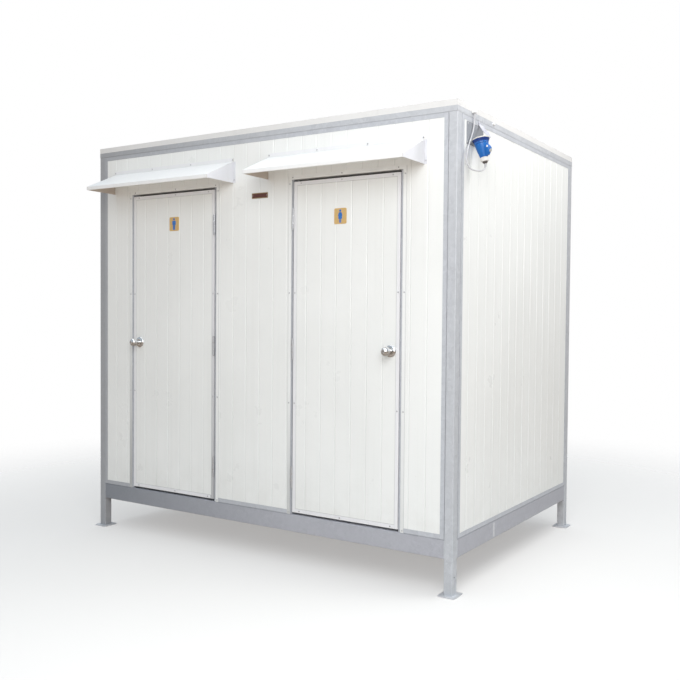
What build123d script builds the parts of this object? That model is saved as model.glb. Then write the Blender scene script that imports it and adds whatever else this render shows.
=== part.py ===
"""Prefabricated twin toilet cabin: a galvanised steel frame on four feet, ribbed
sandwich panels held in folded tracks, two outward-opening doors with rain hoods,
and in each compartment a close-coupled WC, a ceiling light and a vent.

Millimetres. +X runs along the front from left to right, the front faces -Y, +Z is up.
The origin is on the ground, under the middle of the whole object."""
import os
from math import cos, radians, sin, tan

from build123d import *

os.makedirs("parts", exist_ok=True)

# ---------------------------------------------------------------- driving dimensions
W = 2700.0                      # outside width of the frame
D = 1670.0                      # outside depth of the frame
CANOPY_OUT = 215.0              # how far the rain hoods stand out
PLATE = 100.0                   # foot plate, square
PLATE_T = 6.0
YF = -(D + CANOPY_OUT + (PLATE - 50.0) / 2) / 2 + CANOPY_OUT   # front face
YB = YF + D                     # back face
HW = W / 2

TUBE = 50.0                     # corner post, square tube
TUBE_T = 3.0
RAIL_B = 190.0                  # underside of the base rails
RAIL_H = 100.0
FLOOR = RAIL_B + RAIL_H         # rail top and floor level
TOP_B = 2465.0                  # underside of the top rails
TOP_H = 30.0
CEIL = TOP_B + TOP_H            # ceiling, underside of the roof panel
ROOF_T = 30.0
SHEET = 1.2                     # folded sheet
TRACK = 25.0                    # track flange
GAP = 0.4                       # between neighbouring pieces of one kind

PANEL = 50.0                    # wall panel thickness
PITCH = 103.0                   # groove pitch
GROOVE_W, GROOVE_F, GROOVE_D = 8.0, 3.0, 1.6

DOOR_IN, DOOR_OUT = 290.0, 1035.0   # clear opening between the surround trims, from the middle
HEAD = 2200.0                   # head of the opening
SURROUND = 22.0                 # face width of the surround trims
JAMB = 12.0                     # visible jamb bar
LEAF_IN = DOOR_IN + JAMB + 5.0  # hinge edge of the leaf
LEAF_OUT = DOOR_OUT - JAMB - 4.0
LEAF_B, LEAF_T = FLOOR + 14.0, HEAD - 14.0
LEAF_D = 40.0                   # leaf thickness over the trims
LEAF_S = 1.0                    # leaf trim sheet
LEAF_TRIM = 20.0

HINGE_X = DOOR_IN + JAMB + 2.5  # hinge pin, from the middle
HINGE_Y = YF - 6.5
HINGE_R, PIN_R = 6.0, 3.0
HINGE_Z = (505.0, 1240.0, 1974.0)
HINGE_H = 114.0

KNOB_X = LEAF_OUT - 55.0
KNOB_Z = 1247.0
LATCH_OUT = 11.0

WC_X = 662.0                    # middle of each compartment
SEAT_Y, SEAT_Z = 650.0, 716.0   # seat hinge rod
LID_LEAN = 95.0                 # lid opening angle, as stored

SIDES = (("left", -1), ("right", 1))


def block(x0, x1, y0, y1, z0, z1, mode=Mode.ADD):
    """A box between two corners."""
    with Locations(((x0 + x1) / 2, (y0 + y1) / 2, (z0 + z1) / 2)):
        Box(abs(x1 - x0), abs(y1 - y0), abs(z1 - z0), mode=mode)


def grooved(a0, a1, b0, b1, ribs):
    """Outline of a panel section from a0 to a1, b0 to b1, with grooves in both faces."""
    inside = [r for r in sorted(ribs) if a0 + GROOVE_W < r < a1 - GROOVE_W]
    pts = [(a0, b0)]
    for r in inside:
        pts += [(r - GROOVE_W / 2, b0), (r - GROOVE_F / 2, b0 + GROOVE_D),
                (r + GROOVE_F / 2, b0 + GROOVE_D), (r + GROOVE_W / 2, b0)]
    pts += [(a1, b0), (a1, b1)]
    for r in reversed(inside):
        pts += [(r + GROOVE_W / 2, b1), (r + GROOVE_F / 2, b1 - GROOVE_D),
                (r - GROOVE_F / 2, b1 - GROOVE_D), (r - GROOVE_W / 2, b1)]
    return pts + [(a0, b1)]


FRONT_RIBS = [(k + 0.5) * PITCH for k in range(-14, 14)]
SIDE_RIBS = [YF + 143.5 + k * PITCH for k in range(-1, 16)]
LEAF_RIBS = [397.0 + k * PITCH for k in range(6)]   # from the middle outward


def save(part, name):
    part.label = name
    export_step(part, f"parts/{name}.step")


# ---------------------------------------------------------------- steel frame
with BuildPart() as base_rails:
    for y in (YF + TUBE / 2, YB - TUBE / 2):
        with BuildSketch(Plane(origin=(-HW + TUBE, y, RAIL_B + RAIL_H / 2), x_dir=(0, 1, 0), z_dir=(1, 0, 0))):
            RectangleRounded(TUBE, RAIL_H, 6)
            RectangleRounded(TUBE - 2 * TUBE_T, RAIL_H - 2 * TUBE_T, 3, mode=Mode.SUBTRACT)
        extrude(amount=W - 2 * TUBE)
    for x in (-HW + TUBE / 2, HW - TUBE / 2):
        with BuildSketch(Plane(origin=(x, YF + TUBE, RAIL_B + RAIL_H / 2), x_dir=(-1, 0, 0), z_dir=(0, 1, 0))):
            RectangleRounded(TUBE, RAIL_H, 6)
            RectangleRounded(TUBE - 2 * TUBE_T, RAIL_H - 2 * TUBE_T, 3, mode=Mode.SUBTRACT)
        extrude(amount=D - 2 * TUBE)
save(base_rails.part, "base_rails")

DECK_T = 18.0
with BuildPart() as floor_joists:
    for x in (-870.0, -290.0, 290.0, 870.0):
        block(x - 25, x + 25, YF + TUBE, YB - TUBE, RAIL_B + 12, FLOOR - DECK_T)
        block(x - 22, x + 22, YF + TUBE, YB - TUBE, RAIL_B + 15, FLOOR - DECK_T - 3,
              mode=Mode.SUBTRACT)
save(floor_joists.part, "floor_joists")

POST_XY = [(sx * (HW - TUBE / 2), y) for sx in (-1, 1) for y in (YF + TUBE / 2, YB - TUBE / 2)]
VENT_Z = 96.0
with BuildPart() as corner_posts:
    with BuildSketch(Plane.XY.offset(PLATE_T)):
        with Locations(*POST_XY):
            RectangleRounded(TUBE, TUBE, 4)
        with Locations(*POST_XY):
            RectangleRounded(TUBE - 2 * TUBE_T, TUBE - 2 * TUBE_T, 2, mode=Mode.SUBTRACT)
    extrude(amount=TOP_B - PLATE_T)
    # vent hole low in the outer side face of each leg
    with Locations(*[(sx * (HW - TUBE_T / 2), y, VENT_Z) for sx in (-1, 1)
                     for y in (YF + TUBE / 2, YB - TUBE / 2)]):
        Cylinder(6, TUBE_T + 2, rotation=(0, 90, 0), mode=Mode.SUBTRACT)
save(corner_posts.part, "corner_posts")

with BuildPart() as base_plates:
    with BuildSketch(Plane.XY):
        with Locations(*POST_XY):
            RectangleRounded(PLATE, PLATE, 10)
    extrude(amount=PLATE_T)
save(base_plates.part, "base_plates")

with BuildPart() as top_rails:
    t = 2.0
    for y, s in ((YF, 1), (YB, -1)):
        with BuildSketch(Plane.XY.offset(TOP_B)):
            with BuildLine():
                Polyline((-HW, y), (HW, y), (HW - TUBE, y + s * TUBE), (-HW + TUBE, y + s * TUBE),
                         close=True)
            make_face()
        extrude(amount=TOP_H)
        with BuildSketch(Plane.XY.offset(TOP_B + t)):
            with BuildLine():
                Polyline((-HW + t, y + s * t), (HW - t, y + s * t),
                         (HW - TUBE + t, y + s * (TUBE - t)), (-HW + TUBE - t, y + s * (TUBE - t)),
                         close=True)
            make_face()
        extrude(amount=TOP_H - 2 * t, mode=Mode.SUBTRACT)
    for s in (-1, 1):
        with BuildSketch(Plane.XY.offset(TOP_B)):
            with BuildLine():
                Polyline((s * HW, YF + GAP), (s * HW, YB - GAP), (s * (HW - TUBE), YB - GAP - TUBE),
                         (s * (HW - TUBE), YF + GAP + TUBE), close=True)
            make_face()
        extrude(amount=TOP_H)
        with BuildSketch(Plane.XY.offset(TOP_B + t)):
            with BuildLine():
                Polyline((s * (HW - t), YF + GAP + t), (s * (HW - t), YB - GAP - t),
                         (s * (HW - TUBE + t), YB - GAP - TUBE + t),
                         (s * (HW - TUBE + t), YF + GAP + TUBE - t), close=True)
            make_face()
        extrude(amount=TOP_H - 2 * t, mode=Mode.SUBTRACT)
    rims = [e for e in top_rails.edges() if abs(e.center().Z - TOP_B) < 0.1 and e.length > 1000
            and (abs(abs(e.center().X) - HW) < 0.1 or min(abs(e.center().Y - YF), abs(e.center().Y - YB)) < 0.1)]
    fillet(rims, 4)
save(top_rails.part, "top_rails")

# ---------------------------------------------------------------- roof and floor
with BuildPart() as roof_panel:
    with BuildSketch(Plane(origin=(0, YB - 1, 0), x_dir=(1, 0, 0), z_dir=(0, -1, 0))):
        with BuildLine():
            Polyline(*grooved(-HW + 1, HW - 1, CEIL, CEIL + ROOF_T, FRONT_RIBS), close=True)
        make_face()
    extrude(amount=D - 2)
save(roof_panel.part, "roof_panel")

with BuildPart() as roof_edge_trim:
    z0, z1, z2 = CEIL, CEIL + ROOF_T, CEIL + ROOF_T + SHEET
    lip = 30.0
    for y, s in ((YF, 1), (YB, -1)):
        block(-HW - 0.2, HW + 0.2, y - s * 0.2, y + s, z0, z2)
        block(-HW - 0.2, HW + 0.2, y - s * 0.2, y + s * lip, z1, z2)
    for s in (-1, 1):
        block(s * (HW - 1), s * (HW + 0.2), YF + 1 + GAP, YB - 1 - GAP, z0, z1 - GAP)
        block(s * (HW - 1), s * (HW + 0.2), YF + lip + GAP, YB - lip - GAP, z1 - GAP, z2)
        block(s * (HW - lip), s * (HW + 0.2), YF + lip + GAP, YB - lip - GAP, z1, z2)
save(roof_edge_trim.part, "roof_edge_trim")

SOIL_Y = 640.0
with BuildPart() as floor_deck:
    block(-HW + TUBE, HW - TUBE, YF + TUBE, YB - TUBE, FLOOR - DECK_T, FLOOR)
    with Locations((-WC_X, SOIL_Y, FLOOR - DECK_T / 2), (WC_X, SOIL_Y, FLOOR - DECK_T / 2)):
        Cylinder(52.5, DECK_T + 2, mode=Mode.SUBTRACT)
save(floor_deck.part, "floor_deck")

# ---------------------------------------------------------------- wall panels
P_B, P_T = FLOOR + SHEET, TOP_B - SHEET
for side, s in SIDES:
    with BuildPart() as wall_panel:
        pts = [(b, a) for a, b in grooved(YF + TUBE + SHEET, YB - TUBE - SHEET,
                                          s * HW - (PANEL if s > 0 else 0),
                                          s * HW + (0 if s > 0 else PANEL), SIDE_RIBS)]
        with BuildSketch(Plane.XY.offset(P_B)):
            with BuildLine():
                Polyline(*pts, close=True)
            make_face()
        extrude(amount=P_T - P_B)
    save(wall_panel.part, f"wall_panel_{side}")

VENT_W, VENT_H, VENT_C = 240.0, 140.0, 2250.0
WATER_X, WATER_Z = 250.0, 560.0
with BuildPart() as wall_panel_back:
    with BuildSketch(Plane.XY.offset(P_B)):
        with BuildLine():
            Polyline(*grooved(-HW + TUBE + SHEET, HW - TUBE - SHEET, YB - PANEL, YB, FRONT_RIBS),
                     close=True)
        make_face()
    extrude(amount=P_T - P_B)
    with Locations((-WC_X, YB - PANEL / 2, VENT_C), (WC_X, YB - PANEL / 2, VENT_C)):
        Box(VENT_W, PANEL + 4, VENT_H, mode=Mode.SUBTRACT)
    with Locations((WATER_X, YB - PANEL / 2, WATER_Z)):
        Cylinder(13, PANEL + 4, rotation=(90, 0, 0), mode=Mode.SUBTRACT)
save(wall_panel_back.part, "wall_panel_back")

EDGE = SHEET                    # trim sheet on a cut panel edge
for name, x0, x1 in (("front_panel_left", -HW + TUBE + SHEET, -DOOR_OUT - EDGE),
                     ("front_panel_middle", -DOOR_IN + EDGE, DOOR_IN - EDGE),
                     ("front_panel_right", DOOR_OUT + EDGE, HW - TUBE - SHEET)):
    with BuildPart() as front_panel:
        with BuildSketch(Plane.XY.offset(P_B)):
            with BuildLine():
                Polyline(*grooved(x0, x1, YF, YF + PANEL, FRONT_RIBS), close=True)
            make_face()
        extrude(amount=P_T - P_B)
    save(front_panel.part, name)

with BuildPart() as front_header_panels:
    for s in (-1, 1):
        a, b = sorted((s * (DOOR_IN - EDGE), s * (DOOR_OUT + EDGE)))
        with BuildSketch(Plane.XY.offset(HEAD + EDGE)):
            with BuildLine():
                Polyline(*grooved(a, b, YF, YF + PANEL, FRONT_RIBS), close=True)
            make_face()
        extrude(amount=P_T - HEAD - EDGE)
save(front_header_panels.part, "front_header_panels")

with BuildPart() as partition_panel:
    with BuildSketch(Plane.XY.offset(FLOOR + SHEET)):
        with BuildLine():
            Polyline(*[(b, a) for a, b in grooved(YF + TUBE + SHEET + GAP, YB - TUBE - SHEET - GAP,
                                                  -PANEL / 2, PANEL / 2, SIDE_RIBS)], close=True)
        make_face()
    extrude(amount=CEIL - FLOOR - 2 * SHEET)
    with Locations((0, 860, WATER_Z)):
        Cylinder(11, PANEL + 4, rotation=(0, 90, 0), mode=Mode.SUBTRACT)
save(partition_panel.part, "partition_panel")

# ---------------------------------------------------------------- folded tracks round the panels
with BuildPart() as wall_tracks:
    # front and back: channels along X
    runs = [(YF, -HW + TUBE + TRACK + GAP, -DOOR_OUT - SURROUND - GAP, True),
            (YF, -DOOR_IN + SURROUND + GAP, DOOR_IN - SURROUND - GAP, True),
            (YF, DOOR_OUT + SURROUND + GAP, HW - TUBE - TRACK - GAP, True),
            (YF, -HW + TUBE + TRACK + GAP, HW - TUBE - TRACK - GAP, False),
            (YB - PANEL, -HW + TUBE + TRACK + GAP, HW - TUBE - TRACK - GAP, True),
            (YB - PANEL, -HW + TUBE + TRACK + GAP, HW - TUBE - TRACK - GAP, False)]
    for y, x0, x1, low in runs:
        z0, z1 = (FLOOR, FLOOR + TRACK) if low else (TOP_B - TRACK, TOP_B)
        block(x0, x1, y - SHEET, y + PANEL + SHEET, z0, z1)
        block(x0, x1, y, y + PANEL, z0 + (SHEET if low else 0), z1 - (0 if low else SHEET),
              mode=Mode.SUBTRACT)
    # sides: channels along Y
    for x in (-HW, HW - PANEL):
        for low in (True, False):
            z0, z1 = (FLOOR, FLOOR + TRACK) if low else (TOP_B - TRACK, TOP_B)
            block(x - SHEET, x + PANEL + SHEET, YF + TUBE + TRACK + GAP, YB - TUBE - TRACK - GAP, z0, z1)
            block(x, x + PANEL, YF + TUBE + TRACK + GAP, YB - TUBE - TRACK - GAP,
                  z0 + (SHEET if low else 0), z1 - (0 if low else SHEET), mode=Mode.SUBTRACT)
    # angles up the posts: web on the post, flange over the panel's outer face
    for s in (-1, 1):
        x = s * (HW - TUBE)
        for yo, yi, d in ((YF, YF + PANEL, 1), (YB, YB - PANEL, -1)):
            block(x - s * SHEET, x, yo, yi - d * GAP, FLOOR, TOP_B)
            block(x - s * TRACK, x, yo - d * SHEET, yo, FLOOR, TOP_B)
            block(s * HW, s * (HW - PANEL + GAP), yi, yi + d * SHEET, FLOOR, TOP_B)
            block(s * HW, s * (HW + SHEET), yi, yi + d * TRACK, FLOOR, TOP_B)
    # partition: floor and ceiling channels
    for low in (True, False):
        z0, z1 = (FLOOR, FLOOR + TRACK) if low else (CEIL - TRACK, CEIL)
        y0, y1 = YF + TUBE + SHEET + GAP, YB - TUBE - SHEET - GAP
        block(-PANEL / 2 - SHEET, PANEL / 2 + SHEET, y0, y1, z0, z1)
        block(-PANEL / 2, PANEL / 2, y0, y1, z0 + (SHEET if low else 0), z1 - (0 if low else SHEET),
              mode=Mode.SUBTRACT)
save(wall_tracks.part, "wall_tracks")

# ---------------------------------------------------------------- door openings
STOP_D = 8.0                    # rebate stop behind the leaf
STRIKE_Y = YF + LEAF_D / 2
with BuildPart() as door_jambs:
    for s in (-1, 1):
        for x0, d in ((DOOR_IN, 1), (DOOR_OUT, -1)):
            block(s * x0, s * (x0 + d * JAMB), YF, YF + PANEL, FLOOR, HEAD)
            block(s * x0, s * (x0 + d * (JAMB + 10)), YF + PANEL - STOP_D, YF + PANEL, FLOOR, HEAD)
        block(s * (DOOR_IN + JAMB + 10 + GAP), s * (DOOR_OUT - JAMB - 10 - GAP),
              YF + PANEL - STOP_D, YF + PANEL, HEAD - 22, HEAD)
        # strike pocket for the latch
        block(s * (DOOR_OUT - JAMB - 1), s * DOOR_OUT, STRIKE_Y - 8, STRIKE_Y + 8,
              KNOB_Z - 12, KNOB_Z + 12, mode=Mode.SUBTRACT)
save(door_jambs.part, "door_jambs")

with BuildPart() as door_surround_trims:
    for s in (-1, 1):
        for x0, d in ((DOOR_IN, -1), (DOOR_OUT, 1)):
            a, w, f = s * x0, s * (x0 + d * SHEET), s * (x0 + d * SURROUND)
            block(a, f, YF - SHEET, YF, FLOOR, HEAD - GAP)
            block(a, w, YF, YF + PANEL, FLOOR, HEAD - GAP)
            block(a, f, YF + PANEL, YF + PANEL + SHEET, FLOOR + TRACK, HEAD - GAP)
        a, b = s * DOOR_IN, s * DOOR_OUT
        block(s * (DOOR_IN - SURROUND), s * (DOOR_OUT + SURROUND), YF - SHEET, YF, HEAD, HEAD + SURROUND)
        block(s * (DOOR_IN - SURROUND), s * (DOOR_OUT + SURROUND), YF + PANEL, YF + PANEL + SHEET,
              HEAD, HEAD + SURROUND)
        block(a, b, YF - SHEET, YF + PANEL + SHEET, HEAD, HEAD + SHEET)
save(door_surround_trims.part, "door_surround_trims")

# butt hinges: fixed leaf with the outer knuckles, pin with bearing rings, door leaf with the middle knuckle
KN = (HINGE_H - 2 * 6.0) / 3    # knuckle height
RING = 6.0
PLATE_IN = 32.0
with BuildPart() as hinge_frame_leaves:
    for s in (-1, 1):
        for hz in HINGE_Z:
            z0 = hz - HINGE_H / 2
            block(s * (HINGE_X - 2.5), s * (HINGE_X - 0.5), YF + 1, YF + PLATE_IN, z0, z0 + HINGE_H)
            for za in (z0, z0 + 2 * KN + 2 * RING):
                block(s * (HINGE_X - 2.5), s * (HINGE_X - 0.5), HINGE_Y, YF + 1, za, za + KN)
                with Locations((s * HINGE_X, HINGE_Y, za + KN / 2)):
                    Cylinder(HINGE_R, KN)
            for za in (z0, z0 + 2 * KN + 2 * RING):
                with Locations((s * HINGE_X, HINGE_Y, za + KN / 2)):
                    Cylinder(PIN_R, KN, mode=Mode.SUBTRACT)
save(hinge_frame_leaves.part, "hinge_frame_leaves")

with BuildPart() as hinge_pins:
    for s in (-1, 1):
        for hz in HINGE_Z:
            z0 = hz - HINGE_H / 2
            with Locations((s * HINGE_X, HINGE_Y, hz)):
                Cylinder(PIN_R, HINGE_H)
            with Locations((s * HINGE_X, HINGE_Y, z0 + HINGE_H + 1.5), (s * HINGE_X, HINGE_Y, z0 - 1.5)):
                Cylinder(4.6, 3)
            for za in (z0 + KN, z0 + 2 * KN + RING):
                with Locations((s * HINGE_X, HINGE_Y, za + RING / 2)):
                    Cylinder(HINGE_R - 0.2, RING)
save(hinge_pins.part, "hinge_pins")

# ---------------------------------------------------------------- doors
SIGN_X = {"left": -651.0, "right": 631.0}
SIGN_Z = {"left": 1995.0, "right": 1977.0}
SIGN_W, SIGN_H = 82.0, 86.0
LATCH_Y = STRIKE_Y
for side, s in SIDES:
    # leaf: a grooved panel with the wall's pitch, its grooves set out from the hinge edge
    a, b = sorted((s * (LEAF_IN + LEAF_S), s * (LEAF_OUT - LEAF_S)))
    with BuildPart() as door_leaf:
        with BuildSketch(Plane.XY.offset(LEAF_B + LEAF_S)):
            with BuildLine():
                Polyline(*grooved(a, b, YF + LEAF_S, YF + LEAF_D - LEAF_S, [s * r for r in LEAF_RIBS]), close=True)
            make_face()
        extrude(amount=LEAF_T - LEAF_B - 2 * LEAF_S)
        with Locations((s * KNOB_X, YF + LEAF_D / 2, KNOB_Z)):
            Cylinder(14, LEAF_D + 4, rotation=(90, 0, 0), mode=Mode.SUBTRACT)
        with Locations((s * (KNOB_X + 30), LATCH_Y, KNOB_Z)):
            Cylinder(11, 62, rotation=(0, 90, 0), mode=Mode.SUBTRACT)
    save(door_leaf.part, f"door_leaf_{side}")

    # folded trims round the leaf's four edges
    with BuildPart() as door_edge_trim:
        y0, y1 = YF, YF + LEAF_D
        for x0, d in ((LEAF_IN, 1), (LEAF_OUT, -1)):
            block(s * x0, s * (x0 + d * LEAF_TRIM), y0, y1, LEAF_B, LEAF_T)
            block(s * (x0 + d * LEAF_S), s * (x0 + d * LEAF_TRIM), y0 + LEAF_S, y1 - LEAF_S,
                  LEAF_B, LEAF_T, mode=Mode.SUBTRACT)
        for z0, d in ((LEAF_B, 1), (LEAF_T, -1)):
            xa, xb = LEAF_IN + LEAF_TRIM + GAP, LEAF_OUT - LEAF_TRIM - GAP
            block(s * xa, s * xb, y0, y1, z0, z0 + d * LEAF_TRIM)
            block(s * xa, s * xb, y0 + LEAF_S, y1 - LEAF_S, z0 + d * LEAF_S, z0 + d * LEAF_TRIM,
                  mode=Mode.SUBTRACT)
        with Locations((s * LEAF_OUT, LATCH_Y, KNOB_Z)):
            Cylinder(11, 6, rotation=(0, 90, 0), mode=Mode.SUBTRACT)
    save(door_edge_trim.part, f"door_edge_trim_{side}")

    with BuildPart() as hinge_leaves:
        for hz in HINGE_Z:
            z0 = hz - HINGE_H / 2
            zk = z0 + KN + RING + 0.2
            block(s * (HINGE_X + 0.5), s * (HINGE_X + 2.5), YF + 1, YF + PLATE_IN, z0, z0 + HINGE_H)
            block(s * (HINGE_X + 0.5), s * (HINGE_X + 2.5), HINGE_Y, YF + 1, zk, zk + KN - 0.4)
            with Locations((s * HINGE_X, HINGE_Y, zk + (KN - 0.4) / 2)):
                Cylinder(HINGE_R, KN - 0.4)
            with Locations((s * HINGE_X, HINGE_Y, zk + (KN - 0.4) / 2)):
                Cylinder(PIN_R + 0.06, KN, mode=Mode.SUBTRACT)
    save(hinge_leaves.part, f"hinge_leaves_{side}")

    # lock trim: round roses on both faces and the latch's edge plate
    with BuildPart() as lock_trim:
        for yf, d in ((YF + LEAF_S, -1), (YF + LEAF_D - LEAF_S, 1)):
            with BuildSketch(Plane(origin=(s * KNOB_X, yf, KNOB_Z), x_dir=(1, 0, 0), z_dir=(0, 0, 1))):
                with BuildLine():
                    Polyline((11.08, 0), (33, 0), (33, d * 3))
                    ThreePointArc((33, d * 3), (27, d * 8.2), (18, d * 10.5))
                    Polyline((18, d * 10.5), (11.08, d * 10.5), (11.08, 0))
                make_face()
            revolve(axis=Axis((s * KNOB_X, 0, KNOB_Z), (0, 1, 0)))
        block(s * LEAF_OUT, s * (LEAF_OUT + 2), LATCH_Y - 12, LATCH_Y + 12, KNOB_Z - 28, KNOB_Z + 28)
        block(s * (LEAF_OUT - 1), s * (LEAF_OUT + 3), LATCH_Y - 6.3, LATCH_Y + 6.3, KNOB_Z - 8.3, KNOB_Z + 8.3,
              mode=Mode.SUBTRACT)
    save(lock_trim.part, f"lock_trim_{side}")

    # knobs: the outer one carries the spindle, the inner one slides on it
    with BuildPart() as door_knob:
        for yf, d, tail in ((YF + LEAF_S, -1, True), (YF + LEAF_D - LEAF_S, 1, False)):
            with BuildSketch(Plane(origin=(s * KNOB_X, yf, KNOB_Z), x_dir=(1, 0, 0), z_dir=(0, 0, 1))):
                with BuildLine():
                    Polyline((6.05 if not tail else 0, d * 2), (11, d * 2), (11, d * 26))
                    ThreePointArc((11, d * 26), (26, d * 49), (13, d * 70.5))
                    Polyline((13, d * 70.5), (11, d * 72), (0, d * 72))
                    if tail:
                        Line((0, d * 72), (0, d * 2))
                    else:
                        Polyline((0, d * 72), (0, d * 40), (6.05, d * 40), (6.05, d * 2))
                make_face()
            revolve(axis=Axis((s * KNOB_X, 0, KNOB_Z), (0, 1, 0)))
        with BuildSketch(Plane(origin=(s * KNOB_X, YF + LEAF_S, KNOB_Z), x_dir=(1, 0, 0), z_dir=(0, 1, 0))):
            Circle(6)
        extrude(amount=LEAF_D - 2 * LEAF_S + 36)
        with Locations((s * KNOB_X, YF + LEAF_S - 1, KNOB_Z)):
            Cylinder(6, 4, rotation=(90, 0, 0))
    save(door_knob.part, f"door_knob_{side}")

    with BuildPart() as latch_bolt:
        block(s * (LEAF_OUT - 35), s * (LEAF_OUT + LATCH_OUT), LATCH_Y - 6, LATCH_Y + 6, KNOB_Z - 8, KNOB_Z + 8)
        nose = latch_bolt.edges().filter_by(Axis.Z).sort_by(Axis.X)[-2:] if s > 0 else \
            latch_bolt.edges().filter_by(Axis.Z).sort_by(Axis.X)[:2]
        chamfer(nose.sort_by(Axis.Y)[-1], length=7)
    save(latch_bolt.part, f"latch_bolt_{side}")

    with BuildPart() as sign_plate:
        with BuildSketch(Plane(origin=(SIGN_X[side], YF + LEAF_S, SIGN_Z[side]), x_dir=(1, 0, 0), z_dir=(0, -1, 0))):
            RectangleRounded(SIGN_W, SIGN_H, 8)
        extrude(amount=2.5)
    save(sign_plate.part, f"sign_plate_{side}")

    # screws through the leaf trims
    tx = (LEAF_IN + 10, LEAF_OUT - 10)
    pts = [(s * x, YF - 1, z) for x in tx for z in (930, 1558)]
    pts += [(s * x, YF - 1, z) for x in (LEAF_IN + 50, 640, LEAF_OUT - 48) for z in (LEAF_B + 10, LEAF_T - 10)]
    with BuildPart() as door_screws:
        with Locations(*pts):
            Cylinder(4.5, 2, rotation=(90, 0, 0))
    save(door_screws.part, f"door_screws_{side}")

# ---------------------------------------------------------------- rain hoods over the doors
HOOD_X = {"left": -678.0, "right": 638.0}
HOOD_W = 1046.0
HOOD_B = 2214.0                 # underside
HOOD_T = 2362.0                 # top of the wall flange
HOOD_BEND = 2340.0
HOOD_LIP = 20.0
HOOD_FL = 16.0                  # side flanges on the wall
with BuildPart() as door_canopies:
    for side, s in SIDES:
        xc = HOOD_X[side]
        t = SHEET
        slope = (HOOD_BEND - HOOD_B - HOOD_LIP) / (CANOPY_OUT - t)
        k = t * (1 + slope ** 2) ** 0.5
        with BuildSketch(Plane(origin=(xc - HOOD_W / 2, 0, 0), x_dir=(0, 1, 0), z_dir=(1, 0, 0))):
            with BuildLine():
                Polyline((YF, HOOD_T), (YF - t, HOOD_T), (YF - t, HOOD_BEND),
                         (YF - CANOPY_OUT, HOOD_B + HOOD_LIP), (YF - CANOPY_OUT, HOOD_B),
                         (YF - CANOPY_OUT + 10, HOOD_B), (YF - CANOPY_OUT + 10, HOOD_B + t),
                         (YF - CANOPY_OUT + t, HOOD_B + t), (YF - CANOPY_OUT + t, HOOD_B + HOOD_LIP - k + t * slope),
                         (YF, HOOD_BEND - k), close=True)
            make_face()
        extrude(amount=HOOD_W)
        for e in (-1, 1):
            xe = xc + e * (HOOD_W / 2 + GAP)
            with BuildSketch(Plane(origin=(xe, 0, 0), x_dir=(0, 1, 0), z_dir=(1, 0, 0))):
                with BuildLine():
                    Polyline((YF, HOOD_B), (YF, HOOD_BEND), (YF - t, HOOD_BEND),
                             (YF - CANOPY_OUT, HOOD_B + HOOD_LIP), (YF - CANOPY_OUT, HOOD_B), close=True)
                make_face()
            extrude(amount=e * t)
            block(xe, xe + e * HOOD_FL, YF - t, YF, HOOD_B, HOOD_BEND)
save(door_canopies.part, "door_canopies")

# ---------------------------------------------------------------- fixing screws in the wall
pts = []
for side, s in SIDES:
    xc = HOOD_X[side]
    pts += [(xc + x, YF - SHEET - 1.2, HOOD_T - 11) for x in (-516, -170, 170, 516)]
    pts += [(xc + e * (HOOD_W / 2 + 8.4), YF - SHEET - 1.2, HOOD_B + 18) for e in (-1, 1)]
    pts += [(s * x, YF - SHEET - 1.2, HEAD + 11) for x in (DOOR_IN + 8, 640, DOOR_OUT - 30)]
    pts += [(s * x, YF - SHEET - 1.2, z) for x in (DOOR_IN - 12, DOOR_OUT + 12) for z in (FLOOR + 12, 930, 1558, HEAD - 24)]
spts = [(HW + 3 + 1.2, YF + y, z) for y, z in ((110, 2332), (110, 2425), (278, 2332), (278, 2425))]
with BuildPart() as fixing_screws:
    with Locations(*pts):
        Cylinder(4.5, 2.4, rotation=(90, 0, 0))
    with Locations(*spts):
        Cylinder(5, 2.4, rotation=(0, 90, 0))
save(fixing_screws.part, "fixing_screws")

with BuildPart() as name_plate:
    with BuildSketch(Plane(origin=(52, YF, 2126), x_dir=(1, 0, 0), z_dir=(0, -1, 0))):
        RectangleRounded(122, 32, 3)
    extrude(amount=1.5)
save(name_plate.part, "name_plate")

# ---------------------------------------------------------------- electrical supply
with BuildPart() as inlet_bracket:
    block(HW, HW + 3, YF + 98, YF + 290, 2320, 2437)
save(inlet_bracket.part, "inlet_bracket")

CORD_D = 8.0
CORD = [(11, 170, 2490), (11, 168, 2453), (11, 158.5, 2410), (10, 140, 2365), (13, 105, 2320),
        (19.5, 73, 2275), (23, 54, 2235), (31, 56, 2196), (47, 82, 2176), (79.4, 133.1, 2178.6),
        (85.4, 155.4, 2203.5), (82, 155.1, 2219.1)]
CORD = [(HW + x, YF + y, z) for x, y, z in CORD]

# entry hood on the roof edge, open downwards
with BuildPart() as cord_gland:
    gx, gy, gz = CORD[0]
    block(HW + 0.2, HW + 21, gy - 10, gy + 10, gz, gz + 34)
    fillet(cord_gland.edges().filter_by(Axis.Y).group_by(Axis.X)[-1].sort_by(Axis.Z)[-1], 14)
    with Locations((gx, gy, gz + 6)):
        Cylinder(CORD_D / 2 + 0.6, 12.01, mode=Mode.SUBTRACT)
save(cord_gland.part, "cord_gland")

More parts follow.
